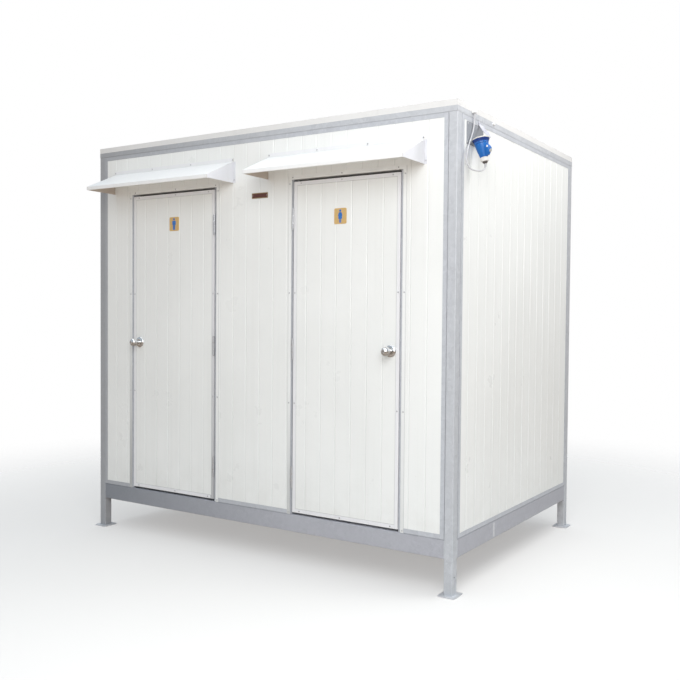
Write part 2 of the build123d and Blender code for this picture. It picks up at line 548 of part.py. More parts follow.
route = [Vector(*p) for p in CORD]
radii = []
last = len(route) - 3
for i, (p, q, r) in enumerate(zip(route, route[1:], route[2:])):
    turn = (q - p).get_angle(r - q)
    before = (0.9 if i == 0 else 0.45) * (q - p).length
    after = (0.9 if i == last else 0.45) * (r - q).length
    radii.append(min(before, after) / tan(radians(turn / 2)))
print("cord runs", [round((b - a).length, 1) for a, b in zip(route, route[1:])])
print("cord radii", [round(r, 1) for r in radii])
with BuildPart() as supply_cord:
    with BuildLine():
        cord_path = FilletPolyline(*CORD, radius=radii)
    with BuildSketch(Plane(origin=cord_path @ 0, z_dir=cord_path % 0)):
        Circle(CORD_D / 2)
    sweep(path=cord_path)
print("cord length", round(cord_path.length, 1), "volume ratio",
      round(supply_cord.part.volume / (3.14159265 * CORD_D ** 2 / 4 * cord_path.length), 4))
save(supply_cord.part, "supply_cord")

# plug: local +Z runs from the mouth of the shroud to the cord end
PLUG_L = 133.0
ax = Vector(0.211, 0.019, -0.977).normalized()
tail = Vector(*CORD[-1])
mouth = tail - ax * (PLUG_L + 0.05)
plug_plane = Plane(origin=mouth, x_dir=ax.cross(Vector(0.996, -0.091, 0)).cross(ax), z_dir=ax)
with BuildPart(plug_plane) as supply_plug:
    with BuildSketch(plug_plane):
        Circle(46)
    extrude(amount=7)
    with BuildSketch(plug_plane.offset(7)):
        Circle(46)
    with BuildSketch(plug_plane.offset(24)):
        Circle(37)
    loft()
    with BuildSketch(plug_plane.offset(24)):
        Circle(37)
    with BuildSketch(plug_plane.offset(99)):
        Circle(20.5)
    loft()
    # side lobe of the housing, on the side away from the wall
    for low, high in (((40, 22, 36, 26), (64, 30, 45, 33)), ((64, 30, 45, 33), (95, 17, 33, 23))):
        for at, x, wide, thick in (low, high):
            with BuildSketch(plug_plane.offset(at)):
                with Locations((x, 0)):
                    SlotOverall(wide, thick)
        loft()
    with BuildSketch(plug_plane):
        Circle(34)
    extrude(amount=30, mode=Mode.SUBTRACT)
save(supply_plug.part, "supply_plug")

with BuildPart(plug_plane) as plug_gland:
    with BuildSketch(plug_plane.offset(99)):
        RegularPolygon(21, 10)
    extrude(amount=22.5)
    with BuildSketch(plug_plane.offset(121.5)):
        Circle(14)
    extrude(amount=PLUG_L - 121.5)
save(plug_gland.part, "plug_gland")

# strap from the wall track under the top rail to the rim of the plug's collar
hang_a = Vector(HW + 10.1, YF + 237.4, 2446.8)
hang_b = Vector(HW + 91.5, YF + 175.5, 2358)
with BuildPart() as plug_strap:
    block(HW + SHEET + 0.2, HW + SHEET + 3.4, YF + 230, YF + 252, 2441, 2464)
    block(HW + SHEET + 0.2, HW + 13.5, YF + 232, YF + 246, 2442, 2451)
    run_dir = (hang_b - hang_a).normalized()
    with BuildSketch(Plane(origin=hang_a, x_dir=Vector(0.784, 0.461, 0.416), z_dir=run_dir)):
        Rectangle(18, 3)
    extrude(amount=(hang_b - hang_a).length)
save(plug_strap.part, "plug_strap")

# ---------------------------------------------------------------- sanitary ware
PAN_T = 690.0
CIST_Y0, CIST_Y1, CIST_T = 700.0, 870.0, 1010.0
with BuildPart() as wc_pans:
    for s in (-1, 1):
        with BuildSketch(Plane.XY.offset(FLOOR)):
            with Locations((s * WC_X, 545)):
                RectangleRounded(230, 470, 105)
        with BuildSketch(Plane.XY.offset(450)):
            with Locations((s * WC_X, 535)):
                RectangleRounded(250, 520, 118)
        with BuildSketch(Plane.XY.offset(PAN_T)):
            with Locations((s * WC_X, 542.5)):
                RectangleRounded(364, 655, 175)
        loft()
        with BuildSketch(Plane.XY.offset(PAN_T)):
            with Locations((s * WC_X, 400)):
                Ellipse(122, 155)
        with BuildSketch(Plane.XY.offset(590)):
            with Locations((s * WC_X, 408)):
                Ellipse(100, 128)
        with BuildSketch(Plane.XY.offset(470)):
            with Locations((s * WC_X, 440)):
                Ellipse(45, 55)
        loft(mode=Mode.SUBTRACT)
save(wc_pans.part, "wc_pans")

with BuildPart() as cisterns:
    for s in (-1, 1):
        with BuildSketch(Plane.XY.offset(PAN_T)):
            with Locations((s * WC_X, (CIST_Y0 + CIST_Y1) / 2)):
                RectangleRounded(370, CIST_Y1 - CIST_Y0, 40)
        extrude(amount=CIST_T - PAN_T)
        with BuildSketch(Plane.XY.offset(PAN_T + 14)):
            with Locations((s * WC_X, (CIST_Y0 + CIST_Y1) / 2)):
                RectangleRounded(346, CIST_Y1 - CIST_Y0 - 24, 30)
        extrude(amount=CIST_T - PAN_T - 14, mode=Mode.SUBTRACT)
save(cisterns.part, "cisterns")

BUTTON_Y = (CIST_Y0 + CIST_Y1) / 2
with BuildPart() as cistern_lids:
    for s in (-1, 1):
        with BuildSketch(Plane.XY.offset(CIST_T)):
            with Locations((s * WC_X, BUTTON_Y)):
                RectangleRounded(382, CIST_Y1 - CIST_Y0 + 8, 42)
                Circle(22.4, mode=Mode.SUBTRACT)
        extrude(amount=24)
    fillet(cistern_lids.faces().filter_by(Plane.XY).group_by(Axis.Z)[-1].edges(), 5)
save(cistern_lids.part, "cistern_lids")

with BuildPart() as soil_pipes:
    for s in (-1, 1):
        with Locations((s * WC_X, SOIL_Y, (190 + FLOOR) / 2)):
            Cylinder(52, FLOOR - 190)
        with Locations((s * WC_X, SOIL_Y, 150)):
            Cylinder(55, 80)
        with Locations((s * WC_X, SOIL_Y, (110 + FLOOR) / 2)):
            Cylinder(48.5, FLOOR - 110, mode=Mode.SUBTRACT)
save(soil_pipes.part, "soil_pipes")

with BuildPart() as seat_hinge_rods:
    for s in (-1, 1):
        x = s * WC_X
        for e in (-1, 1):
            block(x + e * 62, x + e * 78, SEAT_Y - 10, SEAT_Y + 10, PAN_T, SEAT_Z)
            with Locations((x + e * 70, SEAT_Y, SEAT_Z)):
                Cylinder(10, 16, rotation=(0, 90, 0))
        with Locations((x, SEAT_Y, SEAT_Z)):
            Cylinder(6, 212, rotation=(0, 90, 0))
save(seat_hinge_rods.part, "seat_hinge_rods")

for side, s in SIDES:
    x = s * WC_X
    with BuildPart() as wc_seat:
        with BuildSketch(Plane.XY.offset(PAN_T + 3)):
            with Locations((x, 405)):
                Ellipse(182, 222)
        extrude(amount=16)
        fillet(wc_seat.edges().group_by(Axis.Z)[-1], 6)
        for e in (-1, 1):
            block(x + e * 40, x + e * 58, 590, SEAT_Y, PAN_T + 3, PAN_T + 19)
            with Locations((x + e * 49, SEAT_Y, SEAT_Z)):
                Cylinder(12, 18, rotation=(0, 90, 0))
        with BuildSketch(Plane.XY.offset(PAN_T)):
            with Locations((x, 395)):
                Ellipse(112, 145)
        extrude(amount=40, mode=Mode.SUBTRACT)
        with Locations((x, SEAT_Y, SEAT_Z)):
            Cylinder(6.06, 130, rotation=(0, 90, 0), mode=Mode.SUBTRACT)
    save(wc_seat.part, f"wc_seat_{side}")

    # lid, stored leaning back: built on its own plane through the hinge rod
    lean = radians(LID_LEAN)
    lid_plane = Plane(origin=(x, SEAT_Y, SEAT_Z), x_dir=(1, 0, 0), z_dir=(0, -sin(lean), -cos(lean)))
    with BuildPart(lid_plane) as wc_lid:
        with BuildSketch(lid_plane.offset(-9)):
            with Locations((0, 246)):
                Ellipse(184, 224)
        extrude(amount=14)
        fillet(wc_lid.faces().sort_by(Axis((x, SEAT_Y, SEAT_Z), lid_plane.z_dir))[0].edges(), 8)
        with BuildSketch(lid_plane.offset(-9)):
            with Locations((-91, 40), (91, 40)):
                Rectangle(18, 80)
        extrude(amount=14)
        with BuildSketch(Plane(origin=(x - 100, SEAT_Y, SEAT_Z), x_dir=(0, 1, 0), z_dir=(1, 0, 0))):
            Circle(12)
        extrude(amount=18)
        with BuildSketch(Plane(origin=(x + 82, SEAT_Y, SEAT_Z), x_dir=(0, 1, 0), z_dir=(1, 0, 0))):
            Circle(12)
        extrude(amount=18)
        with BuildSketch(Plane(origin=(x - 110, SEAT_Y, SEAT_Z), x_dir=(0, 1, 0), z_dir=(1, 0, 0))):
            Circle(6.06)
        extrude(amount=220, mode=Mode.SUBTRACT)
    save(wc_lid.part, f"wc_lid_{side}")

    with BuildPart() as flush_button:
        with Locations((x, BUTTON_Y, CIST_T + 16)):
            Cylinder(22, 24)
        fillet(flush_button.edges().group_by(Axis.Z)[-1], 3)
    save(flush_button.part, f"flush_button_{side}")

# cold water: a pipe between the cisterns with a threaded stub through the back wall
with BuildPart() as water_pipe:
    with BuildLine():
        water_path = FilletPolyline((-WC_X + 185, 860 - 40, 760), (-462, 820, 760), (-462, 860, 700), (-462, 860, WATER_Z),
                                    (462, 860, WATER_Z), (462, 860, 700), (462, 820, 760), (WC_X - 185, 820, 760),
                                    radius=6)
    with BuildSketch(Plane(origin=water_path @ 0, z_dir=water_path % 0)):
        Circle(7.5)
    sweep(path=water_path)
    with Locations((WATER_X, (860 + YB + 2) / 2, WATER_Z)):
        Cylinder(8, YB + 2 - 860, rotation=(90, 0, 0))
    with Locations((WATER_X, YB + 12, WATER_Z)):
        Cylinder(10.5, 20, rotation=(90, 0, 0))
save(water_pipe.part, "water_pipe")

# ---------------------------------------------------------------- light and air
with BuildPart() as ceiling_lights:
    for s in (-1, 1):
        with BuildSketch(Plane.XY.offset(CEIL)):
            with Locations((s * WC_X, 60)):
                Circle(125)
        extrude(amount=-18)
        with BuildSketch(Plane.XY.offset(CEIL - 18)):
            with Locations((s * WC_X, 60)):
                Circle(116)
        extrude(amount=-36)
    fillet(ceiling_lights.edges().group_by(Axis.Z)[0], 24)
save(ceiling_lights.part, "ceiling_lights")

with BuildPart() as vent_grilles:
    for s in (-1, 1):
        with Locations((s * WC_X, YB + 3, VENT_C)):
            Box(VENT_W + 30, 6, VENT_H + 30)
        with Locations((s * WC_X, YB - 8, VENT_C)):
            Box(VENT_W - 2, 16, VENT_H - 2)
        with Locations(*[(s * WC_X, YB - 4, VENT_C - 54 + 18 * k) for k in range(7)]):
            Box(VENT_W - 30, 40, 9, rotation=(28, 0, 0), mode=Mode.SUBTRACT)
save(vent_grilles.part, "vent_grilles")
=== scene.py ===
"""Looks of the prefabricated toilet cabin: camera, materials, light, and the fine pieces
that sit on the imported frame. Metres, in the frame's own axes."""
import math

import bmesh
import bpy
from mathutils import Matrix, Vector


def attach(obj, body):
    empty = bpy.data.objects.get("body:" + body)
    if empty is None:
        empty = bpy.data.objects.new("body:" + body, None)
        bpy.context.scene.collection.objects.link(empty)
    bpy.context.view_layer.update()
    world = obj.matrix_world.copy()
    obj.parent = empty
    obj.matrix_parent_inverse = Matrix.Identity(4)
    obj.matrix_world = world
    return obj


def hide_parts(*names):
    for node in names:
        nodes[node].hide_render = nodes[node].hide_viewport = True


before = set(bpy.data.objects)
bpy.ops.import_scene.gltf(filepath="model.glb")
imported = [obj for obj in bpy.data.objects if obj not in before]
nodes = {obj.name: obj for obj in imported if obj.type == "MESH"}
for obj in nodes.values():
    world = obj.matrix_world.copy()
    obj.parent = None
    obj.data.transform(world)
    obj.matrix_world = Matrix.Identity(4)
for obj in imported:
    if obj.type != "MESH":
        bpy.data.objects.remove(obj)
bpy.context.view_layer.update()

YF, YB, HW = -0.740, 0.930, 1.350       # front face, back face, half width
SHEET = 0.0012
SIDES = (("left", -1), ("right", 1))
scene = bpy.context.scene


# ------------------------------------------------------------------ camera
def make_camera():
    yaw, pitch, roll = 0.51947, -0.02796, 0.0111
    fwd = Vector((-math.sin(yaw) * math.cos(pitch), math.cos(yaw) * math.cos(pitch), math.sin(pitch)))
    right = fwd.cross(Vector((0, 0, 1))).normalized()
    up = right.cross(fwd)
    r2 = right * math.cos(roll) + up * math.sin(roll)
    u2 = up * math.cos(roll) - right * math.sin(roll)
    data = bpy.data.cameras.new("camera")
    data.sensor_width = 36.0
    data.lens = 42.3597
    data.shift_x = -0.13235
    cam = bpy.data.objects.new("camera", data)
    m = Matrix((r2, u2, -fwd)).transposed().to_4x4()
    m.translation = Vector((3.24556, -4.30915, 1.42629))
    cam.matrix_world = m
    scene.collection.objects.link(cam)
    scene.camera = cam


make_camera()


# ------------------------------------------------------------------ material tools
class Mat:
    """A Principled material with small helpers for procedural nodes in object space."""

    def __init__(self, name, rough=0.5, metal=0.0, **sockets):
        self.m = bpy.data.materials.new(name)
        self.m.use_nodes = True
        self.nt = self.m.node_tree
        self.b = self.nt.nodes["Principled BSDF"]
        self.b.inputs["Roughness"].default_value = rough
        self.b.inputs["Metallic"].default_value = metal
        for k, v in sockets.items():
            self.b.inputs[k.replace("_", " ")].default_value = v
        self.co = self.nt.nodes.new("ShaderNodeTexCoord").outputs["Object"]

    def link(self, a, b):
        self.nt.links.new(a, b)

    def stretch(self, scale, turn=(0, 0, 0)):
        n = self.nt.nodes.new("ShaderNodeMapping")
        n.inputs["Scale"].default_value = scale
        n.inputs["Rotation"].default_value = turn
        self.link(self.co, n.inputs["Vector"])
        return n.outputs["Vector"]

    def noise(self, scale, detail=4.0, rough=0.55, distort=0.0, vec=None):
        n = self.nt.nodes.new("ShaderNodeTexNoise")
        n.inputs["Scale"].default_value = scale
        n.inputs["Detail"].default_value = detail
        n.inputs["Roughness"].default_value = rough
        n.inputs["Distortion"].default_value = distort
        self.link(vec or self.co, n.inputs["Vector"])
        return n.outputs["Fac"]

    def cells(self, scale, out="Color", feature="F1", vec=None):
        n = self.nt.nodes.new("ShaderNodeTexVoronoi")
        n.feature = feature
        n.inputs["Scale"].default_value = scale
        self.link(vec or self.co, n.inputs["Vector"])
        return n.outputs[out]

    def wave(self, scale, vec=None, distort=0.0, direction="X"):
        n = self.nt.nodes.new("ShaderNodeTexWave")
        n.bands_direction = direction
        n.inputs["Scale"].default_value = scale
        n.inputs["Distortion"].default_value = distort
        self.link(vec or self.co, n.inputs["Vector"])
        return n.outputs["Fac"]

    def axis(self, which):
        n = self.nt.nodes.new("ShaderNodeSeparateXYZ")
        self.link(self.co, n.inputs[0])
        return n.outputs[which]

    def along(self, direction, origin):
        """Distance along a direction from a point."""
        s = self.nt.nodes.new("ShaderNodeVectorMath")
        s.operation = "SUBTRACT"
        self.link(self.co, s.inputs[0])
        s.inputs[1].default_value = origin
        d = self.nt.nodes.new("ShaderNodeVectorMath")
        d.operation = "DOT_PRODUCT"
        self.link(s.outputs[0], d.inputs[0])
        d.inputs[1].default_value = direction
        return d.outputs["Value"]

    def remap(self, val, a, b, c, d, smooth=False):
        n = self.nt.nodes.new("ShaderNodeMapRange")
        if smooth:
            n.interpolation_type = "SMOOTHSTEP"
        for i, x in enumerate((a, b, c, d)):
            n.inputs[1 + i].default_value = x
        self.link(val, n.inputs[0])
        return n.outputs[0]

    def times(self, a, b):
        n = self.nt.nodes.new("ShaderNodeMath")
        n.operation = "MULTIPLY"
        self.link(a, n.inputs[0])
        if isinstance(b, (int, float)):
            n.inputs[1].default_value = b
        else:
            self.link(b, n.inputs[1])
        return n.outputs[0]

    def plus(self, a, b):
        n = self.nt.nodes.new("ShaderNodeMath")
        n.operation = "ADD"
        self.link(a, n.inputs[0])
        self.link(b, n.inputs[1])
        return n.outputs[0]

    def maths(self, op, a, b=None):
        n = self.nt.nodes.new("ShaderNodeMath")
        n.operation = op
        self.link(a, n.inputs[0])
        if b is not None:
            if isinstance(b, (int, float)):
                n.inputs[1].default_value = b
            else:
                self.link(b, n.inputs[1])
        return n.outputs[0]

    def near(self, val, centre, half, soft):
        """1 within half of the centre, falling to 0 over the next soft."""
        d = self.maths("ABSOLUTE", self.maths("SUBTRACT", val, centre))
        return self.remap(d, half, half + soft, 1.0, 0.0)

    def between(self, val, lo, hi, soft):
        return self.near(val, (lo + hi) / 2, (hi - lo) / 2, soft)

    def ribs(self, val, start, pitch, half, soft):
        """Lines one pitch apart, one of them at start."""
        f = self.maths("FRACT", self.maths("DIVIDE", self.maths("SUBTRACT", val, start - 50.5 * pitch), pitch))
        d = self.times(self.maths("ABSOLUTE", self.maths("SUBTRACT", f, 0.5)), pitch)
        return self.remap(d, half, half + soft, 1.0, 0.0)

    def top(self, *vals):
        out = vals[0]
        for v in vals[1:]:
            out = self.maths("MAXIMUM", out, v)
        return out

    def grey(self, col):
        n = self.nt.nodes.new("ShaderNodeRGBToBW")
        self.link(col, n.inputs[0])
        return n.outputs[0]

    def ramp(self, fac, *stops):
        n = self.nt.nodes.new("ShaderNodeValToRGB")
        el = n.color_ramp.elements
        while len(el) < len(stops):
            el.new(0.5)
        for e, (p, c) in zip(el, stops):
            e.position = p
            e.color = (*c, 1.0)
        self.link(fac, n.inputs[0])
        return n.outputs["Color"]

    def mix(self, fac, a, b, mode="MIX"):
        n = self.nt.nodes.new("ShaderNodeMix")
        n.data_type = "RGBA"
        n.blend_type = mode
        self.link(fac, n.inputs[0])
        for sock, v in ((n.inputs[6], a), (n.inputs[7], b)):
            if isinstance(v, tuple):
                sock.default_value = (*v, 1.0)
            else:
                self.link(v, sock)
        return n.outputs[2]

    def bump(self, height, strength, dist, under=None):
        n = self.nt.nodes.new("ShaderNodeBump")
        n.inputs["Strength"].default_value = strength
        n.inputs["Distance"].default_value = dist
        self.link(height, n.inputs["Height"])
        if under is not None:
            self.link(under, n.inputs["Normal"])
        return n.outputs["Normal"]

    def color(self, c):
        self.link(c, self.b.inputs["Base Color"])

    def rough(self, r):
        self.link(r, self.b.inputs["Roughness"])

    def normal(self, n):
        self.link(n, self.b.inputs["Normal"])


def coated(name, light, shade, dusty=0.16, rough=(0.26, 0.40), darkening=None, dull=None, back=None):
    """Coil-coated white sheet: faint rain streaks, dust low down, orange peel, slow waviness.
    darkening(k) gives painted shade in the grooves and along the leaf's trim edges, a sealant line round the doors and
    darkening towards the foot of the door trims, dull(k) painted shade on the hoods' cheeks and flanges, and back(k)
    where the cheeks' inner faces are a darker beige, 0 to 1."""
    k = Mat(name, 0.33, IOR=1.46)
    base = k.ramp(k.noise(1.4, 3), (0.35, shade), (0.65, light))
    # Painted shade: the hoods' cheeks and flanges mixed towards grey as if turned from the light.
    if dull:
        base = k.mix(dull(k), base, (0.705, 0.710, 0.738))
    if back:
        base = k.mix(back(k), base, (0.56, 0.485, 0.42))
    streak = k.noise(1.0, 5, 0.6, vec=k.stretch((26, 26, 0.55)))
    base = k.mix(k.remap(streak, 0.52, 0.80, 0.0, 0.11), base, (0.52, 0.53, 0.49))
    low = k.remap(k.axis(2), 0.28, 0.62, 1.0, 0.0, True)
    dust = k.times(low, k.remap(k.noise(9, 6, 0.65), 0.35, 0.75, 0.0, dusty))
    base = k.mix(dust, base, (0.50, 0.47, 0.41))
    specks = k.remap(k.noise(140, 2, 0.4), 0.70, 0.78, 0.0, 0.10)
    base = k.mix(specks, base, (0.40, 0.39, 0.36))
    # Painted shade in the grooves and at the leaf's trim edges, a sealant line, and darkening towards the foot of the
    # door trims, made patchy by noise.
    if darkening:
        patchy_dark = k.remap(k.noise(1.0, 5, 0.6, vec=k.stretch((14, 14, 3))), 0.25, 0.60, 0.72, 1.0)
        base = k.mix(k.times(darkening(k), patchy_dark), base, (0.23, 0.235, 0.235))
    k.color(base)
    k.rough(k.remap(k.noise(5, 5, 0.6), 0.3, 0.7, *rough))
    slow = k.bump(k.noise(2.2, 2, 0.4), 0.10, 0.012)
    k.normal(k.bump(k.noise(520, 2, 0.5), 0.05, 0.0006, slow))
    return k.m


def galvanised(name, light, dark, darkening=None, metal=0.2, patch=None, left_end_shade=0.0, left_end_shade_grey=(0.30, 0.305, 0.315)):
    """Hot-dip zinc: crystal spangle, cloudy patches, dull white bloom and a few dark handling marks.
    darkening(k) gives painted shade in the joints and on the hinge side of the openings, with some stain and grease,
    patch(k) where a weld was ground bright, 0 to 1.
    left_end_shade is how far the left end is darkened towards left_end_shade_grey: painted shade, as the light falls
    from the right."""
    k = Mat(name, 0.45, metal)
    warp = k.cells(48)
    fine = k.cells(130)
    sp = k.plus(k.times(k.grey(warp), 0.65), k.times(k.grey(fine), 0.35))
    base = k.ramp(sp, (0.15, dark), (0.85, light))
    cloud = k.remap(k.noise(5.5, 6, 0.62, 0.6), 0.40, 0.68, 0.0, 0.55)
    base = k.mix(cloud, base, tuple(c * 0.96 for c in light))
    bloom = k.remap(k.noise(17, 7, 0.7), 0.60, 0.78, 0.0, 0.45)
    base = k.mix(bloom, base, tuple(min(0.8, c * 1.18) for c in light))
    marks = k.remap(k.noise(1.0, 6, 0.7, vec=k.stretch((60, 60, 9), (0.3, 0.2, 0.1))), 0.66, 0.82, 0.0, 0.35)
    base = k.mix(marks, base, (0.25, 0.25, 0.26))
    # Painted shade: the left end darkened, as the light falls from the right.
    if left_end_shade:
        base = k.mix(k.remap(k.axis(0), -1.35, 0.3, left_end_shade, 0.0), base, left_end_shade_grey)
    # Painted shade in the joints and on the hinge side of the openings, with some stain and grease.
    if darkening:
        base = k.mix(darkening(k), base, (0.10, 0.102, 0.105))
    if patch:
        base = k.mix(k.times(patch(k), k.remap(k.noise(90, 4, 0.6), 0.30, 0.62, 0.45, 1.0)), base, (0.74, 0.745, 0.75))
    k.color(base)
    k.rough(k.plus(k.remap(k.grey(warp), 0.1, 0.9, 0.50, 0.64), k.remap(bloom, 0.0, 0.45, 0.0, 0.16)))
    k.normal(k.bump(k.grey(warp), 0.06, 0.0008, k.bump(k.noise(60, 5, 0.6), 0.12, 0.001)))
    return k.m


def steel(name, light, dark, rough=(0.25, 0.42), metal=1.0, grain=(30, 400, 30)):
    """Machined or rolled steel with a fine grain."""
    k = Mat(name, 0.35, metal)
    g = k.noise(4.0, 4, 0.6, vec=k.stretch(grain))
    k.color(k.mix(k.remap(k.noise(70, 5, 0.65), 0.45, 0.72, 0.0, 0.6), k.ramp(g, (0.3, dark), (0.7, light)), dark))
    k.rough(k.remap(g, 0.3, 0.7, *rough))
    k.normal(k.bump(g, 0.08, 0.0004))
    return k.m


def chrome(name):
    """Chrome plate with a painted reflection: sky-bright on its upward faces and ground-brown on its downward faces,
    roughened in patches by handling.
    """
    k = Mat(name, 0.08, 1.0)
    scuff = k.noise(240, 4, 0.7)
    # Painted reflection: the colour follows which way the surface faces.
    up = k.nt.nodes.new("ShaderNodeSeparateXYZ")
    k.link(k.nt.nodes.new("ShaderNodeNewGeometry").outputs["Normal"], up.inputs[0])
    patchy_dark = k.ramp(k.noise(35, 3), (0.3, (0.36, 0.32, 0.285)), (0.7, (0.44, 0.40, 0.365)))
    k.color(k.mix(k.remap(up.outputs[2], -0.35, 0.30, 0.0, 1.0, True), patchy_dark, (0.84, 0.85, 0.86)))
    k.rough(k.remap(scuff, 0.45, 0.75, 0.08, 0.22))
    k.normal(k.bump(k.noise(90, 2), 0.02, 0.0004))
    return k.m


def moulded(name, light, dark, rough=(0.30, 0.46), grain=900, **sockets):
    """Moulded plastic: fine spark-eroded grain and slight mottling."""
    k = Mat(name, 0.4, **sockets)
    k.color(k.ramp(k.noise(28, 4, 0.6), (0.3, dark), (0.7, light)))
    k.rough(k.remap(k.noise(45, 4), 0.3, 0.7, *rough))
    k.normal(k.bump(k.noise(grain, 2, 0.5), 0.10, 0.0004))
    return k.m


def ceramic(name):
    k = Mat(name, 0.10, Coat_Weight=0.6, Coat_Roughness=0.04)
    k.color(k.ramp(k.noise(7, 3), (0.3, (0.84, 0.845, 0.84)), (0.7, (0.89, 0.89, 0.885))))
    k.rough(k.remap(k.noise(14, 3), 0.3, 0.7, 0.07, 0.15))
    k.normal(k.bump(k.noise(30, 2, 0.4), 0.03, 0.001))
    return k.m


def plywood(name):
    k = Mat(name, 0.5)
    grain = k.noise(1.0, 6, 0.6, 0.4, k.stretch((2.2, 60, 60)))
    film = k.ramp(grain, (0.3, (0.16, 0.115, 0.085)), (0.7, (0.225, 0.17, 0.13)))
    wear = k.remap(k.noise(6, 6, 0.65), 0.55, 0.78, 0.0, 0.5)
    k.color(k.mix(wear, film, (0.33, 0.28, 0.23)))
    k.rough(k.remap(k.noise(20, 5), 0.3, 0.7, 0.38, 0.6))
    hexes = k.cells(160, "Distance", "DISTANCE_TO_EDGE")
    k.normal(k.bump(hexes, 0.25, 0.0015))
    return k.m


PITCH = 0.103
WHITE_A, WHITE_B = (0.865, 0.873, 0.850), (0.828, 0.836, 0.812)


# Painted shade in the grooves of the front panels.
def front_groove_shade(k):
    return k.times(k.ribs(k.axis(0), PITCH / 2, PITCH, 0.0014, 0.0022), 0.13)


# Painted shade in the grooves of the side panels.
def side_groove_shade(k):
    return k.times(k.ribs(k.axis(1), YF + 0.1435, PITCH, 0.0020, 0.0022), 0.20)


def leaf_groove_shade(k):
    """Painted shade in the grooves, and a painted shadow line where the edge trim lies on the leaf."""
    x = k.maths("ABSOLUTE", k.axis(0))
    edge = k.top(k.near(x, 0.3280, 0.0012, 0.002), k.near(x, 0.9980, 0.0012, 0.002))
    edge = k.top(edge, k.near(k.axis(2), 0.3250, 0.0012, 0.002), k.near(k.axis(2), 2.1650, 0.0012, 0.002))
    return k.top(k.times(k.ribs(x, 0.397, PITCH, 0.0014, 0.0022), 0.14), k.times(edge, 0.42))


def trim_darkening(k):
    """Sealant line along the outer edge of the trims round the doors, and darkening that grows towards the foot of
    their legs.
    """
    x, z, side = k.maths("ABSOLUTE", k.axis(0)), k.axis(2), k.axis(0)
    flush = k.near(k.axis(1), YF, 0.004, 0.001)
    edge = k.top(k.near(x, 0.2685, 0.0012, 0.0016), k.near(x, 1.0565, 0.0012, 0.0016))
    low = k.remap(z, 2.215, 2.222, 1.0, 0.0)
    line = k.times(k.times(k.times(edge, flush), low), 0.45)
    left = k.times(k.remap(side, -1.02, -1.01, 1.0, 0.0), k.remap(z, 0.35, 1.55, 0.66, 0.0))
    middle = k.times(k.between(side, 0.255, 0.305, 0.003), k.remap(z, 0.35, 1.05, 0.46, 0.0))
    right = k.times(k.remap(side, 1.01, 1.02, 0.0, 1.0), k.remap(z, 0.35, 1.30, 0.20, 0.0))
    return k.top(line, left, middle, right)


def leaf_hinge_darkening(k):
    """Darkening that grows towards the foot of the hinge edge of the left leaf."""
    return k.times(k.between(k.axis(0), -0.332, -0.295, 0.004), k.remap(k.axis(2), 0.32, 1.75, 0.58, 0.08))


def joint_lines(k):
    """Dark line along the joints between the channels and the frame: painted shade of the narrow gaps there, with some
    stain.
    """
    x, y, z = k.maths("ABSOLUTE", k.axis(0)), k.axis(1), k.axis(2)
    flat = k.top(k.near(z, 2.4650, 0.0030, 0.0015), k.near(z, 0.2900, 0.0030, 0.0015))
    upright = k.top(k.near(x, 1.3000, 0.0024, 0.0015), k.near(y, YF + 0.050, 0.0024, 0.0015), k.near(y, YB - 0.050, 0.0024, 0.0015))
    return k.times(k.top(flat, upright), 0.20)


def jamb_shade(k):
    """Painted shade on the hinge side of each opening, where the jamb lies in the gap's shadow, with some grease from
    the hinges.
    """
    return k.times(k.between(k.maths("ABSOLUTE", k.axis(0)), 0.2840, 0.3240, 0.003), 0.16)


PANEL_FRONT = coated("coated_panel_front", WHITE_A, WHITE_B, darkening=front_groove_shade)
PANEL_SIDE = coated("coated_panel_side", WHITE_A, WHITE_B, darkening=side_groove_shade)
PANEL_LEAF = coated("coated_panel_leaf", WHITE_A, WHITE_B, darkening=leaf_groove_shade)
def canopy_cheek_shade(k):
    """Painted shade: where the hoods' cheeks are, and weakly the flanges on the wall, darkened as if turned from the
    light, 0 to 1.
    """
    x, y, z = k.axis(0), k.axis(1), k.axis(2)
    flush = k.near(y, YF - 0.0006, 0.0014, 0.0006)
    off = [k.maths("ABSOLUTE", k.maths("SUBTRACT", x, c)) for c in (-0.678, 0.638)]
    ends = k.remap(k.maths("MINIMUM", *off), 0.5236, 0.5241, 0.0, 1.0)
    return k.top(ends, k.times(k.times(flush, k.remap(z, 2.3385, 2.3400, 0.0, 1.0)), 0.30))


def canopy_inside(k):
    """The cheeks' inner faces, coloured a darker beige than the outside, 0 to 1."""
    off = [k.maths("ABSOLUTE", k.maths("SUBTRACT", k.axis(0), c)) for c in (-0.678, 0.638)]
    return k.between(k.maths("MINIMUM", *off), 0.5230, 0.5236, 0.0002)


def weld_patch(k):
    """One ground weld across the right side's base rail."""
    x, y, z = k.axis(0), k.axis(1), k.axis(2)
    band = k.times(k.near(y, YF + 0.492, 0.007, 0.006), k.between(z, 0.206, 0.272, 0.012))
    return k.times(band, k.remap(x, 1.344, 1.346, 0.0, 0.85))


TRIM = coated("coated_trim", (0.872, 0.88, 0.862), (0.835, 0.843, 0.825), 0.12, (0.28, 0.42), trim_darkening)
ROOF_TRIM = coated("coated_roof_trim", (0.765, 0.758, 0.742), (0.725, 0.718, 0.702), 0.12, (0.30, 0.44))
LEAF_TRIM = coated("coated_leaf_trim", (0.828, 0.826, 0.836), (0.795, 0.793, 0.803), 0.12, (0.28, 0.42), leaf_hinge_darkening)
CANOPY = coated("coated_canopy", (0.885, 0.888, 0.880), (0.855, 0.858, 0.850), 0.12, (0.30, 0.44), dull=canopy_cheek_shade, back=canopy_inside)
GALV = galvanised("galvanised_steel", (0.588, 0.604, 0.628), (0.488, 0.504, 0.528), left_end_shade=0.64)
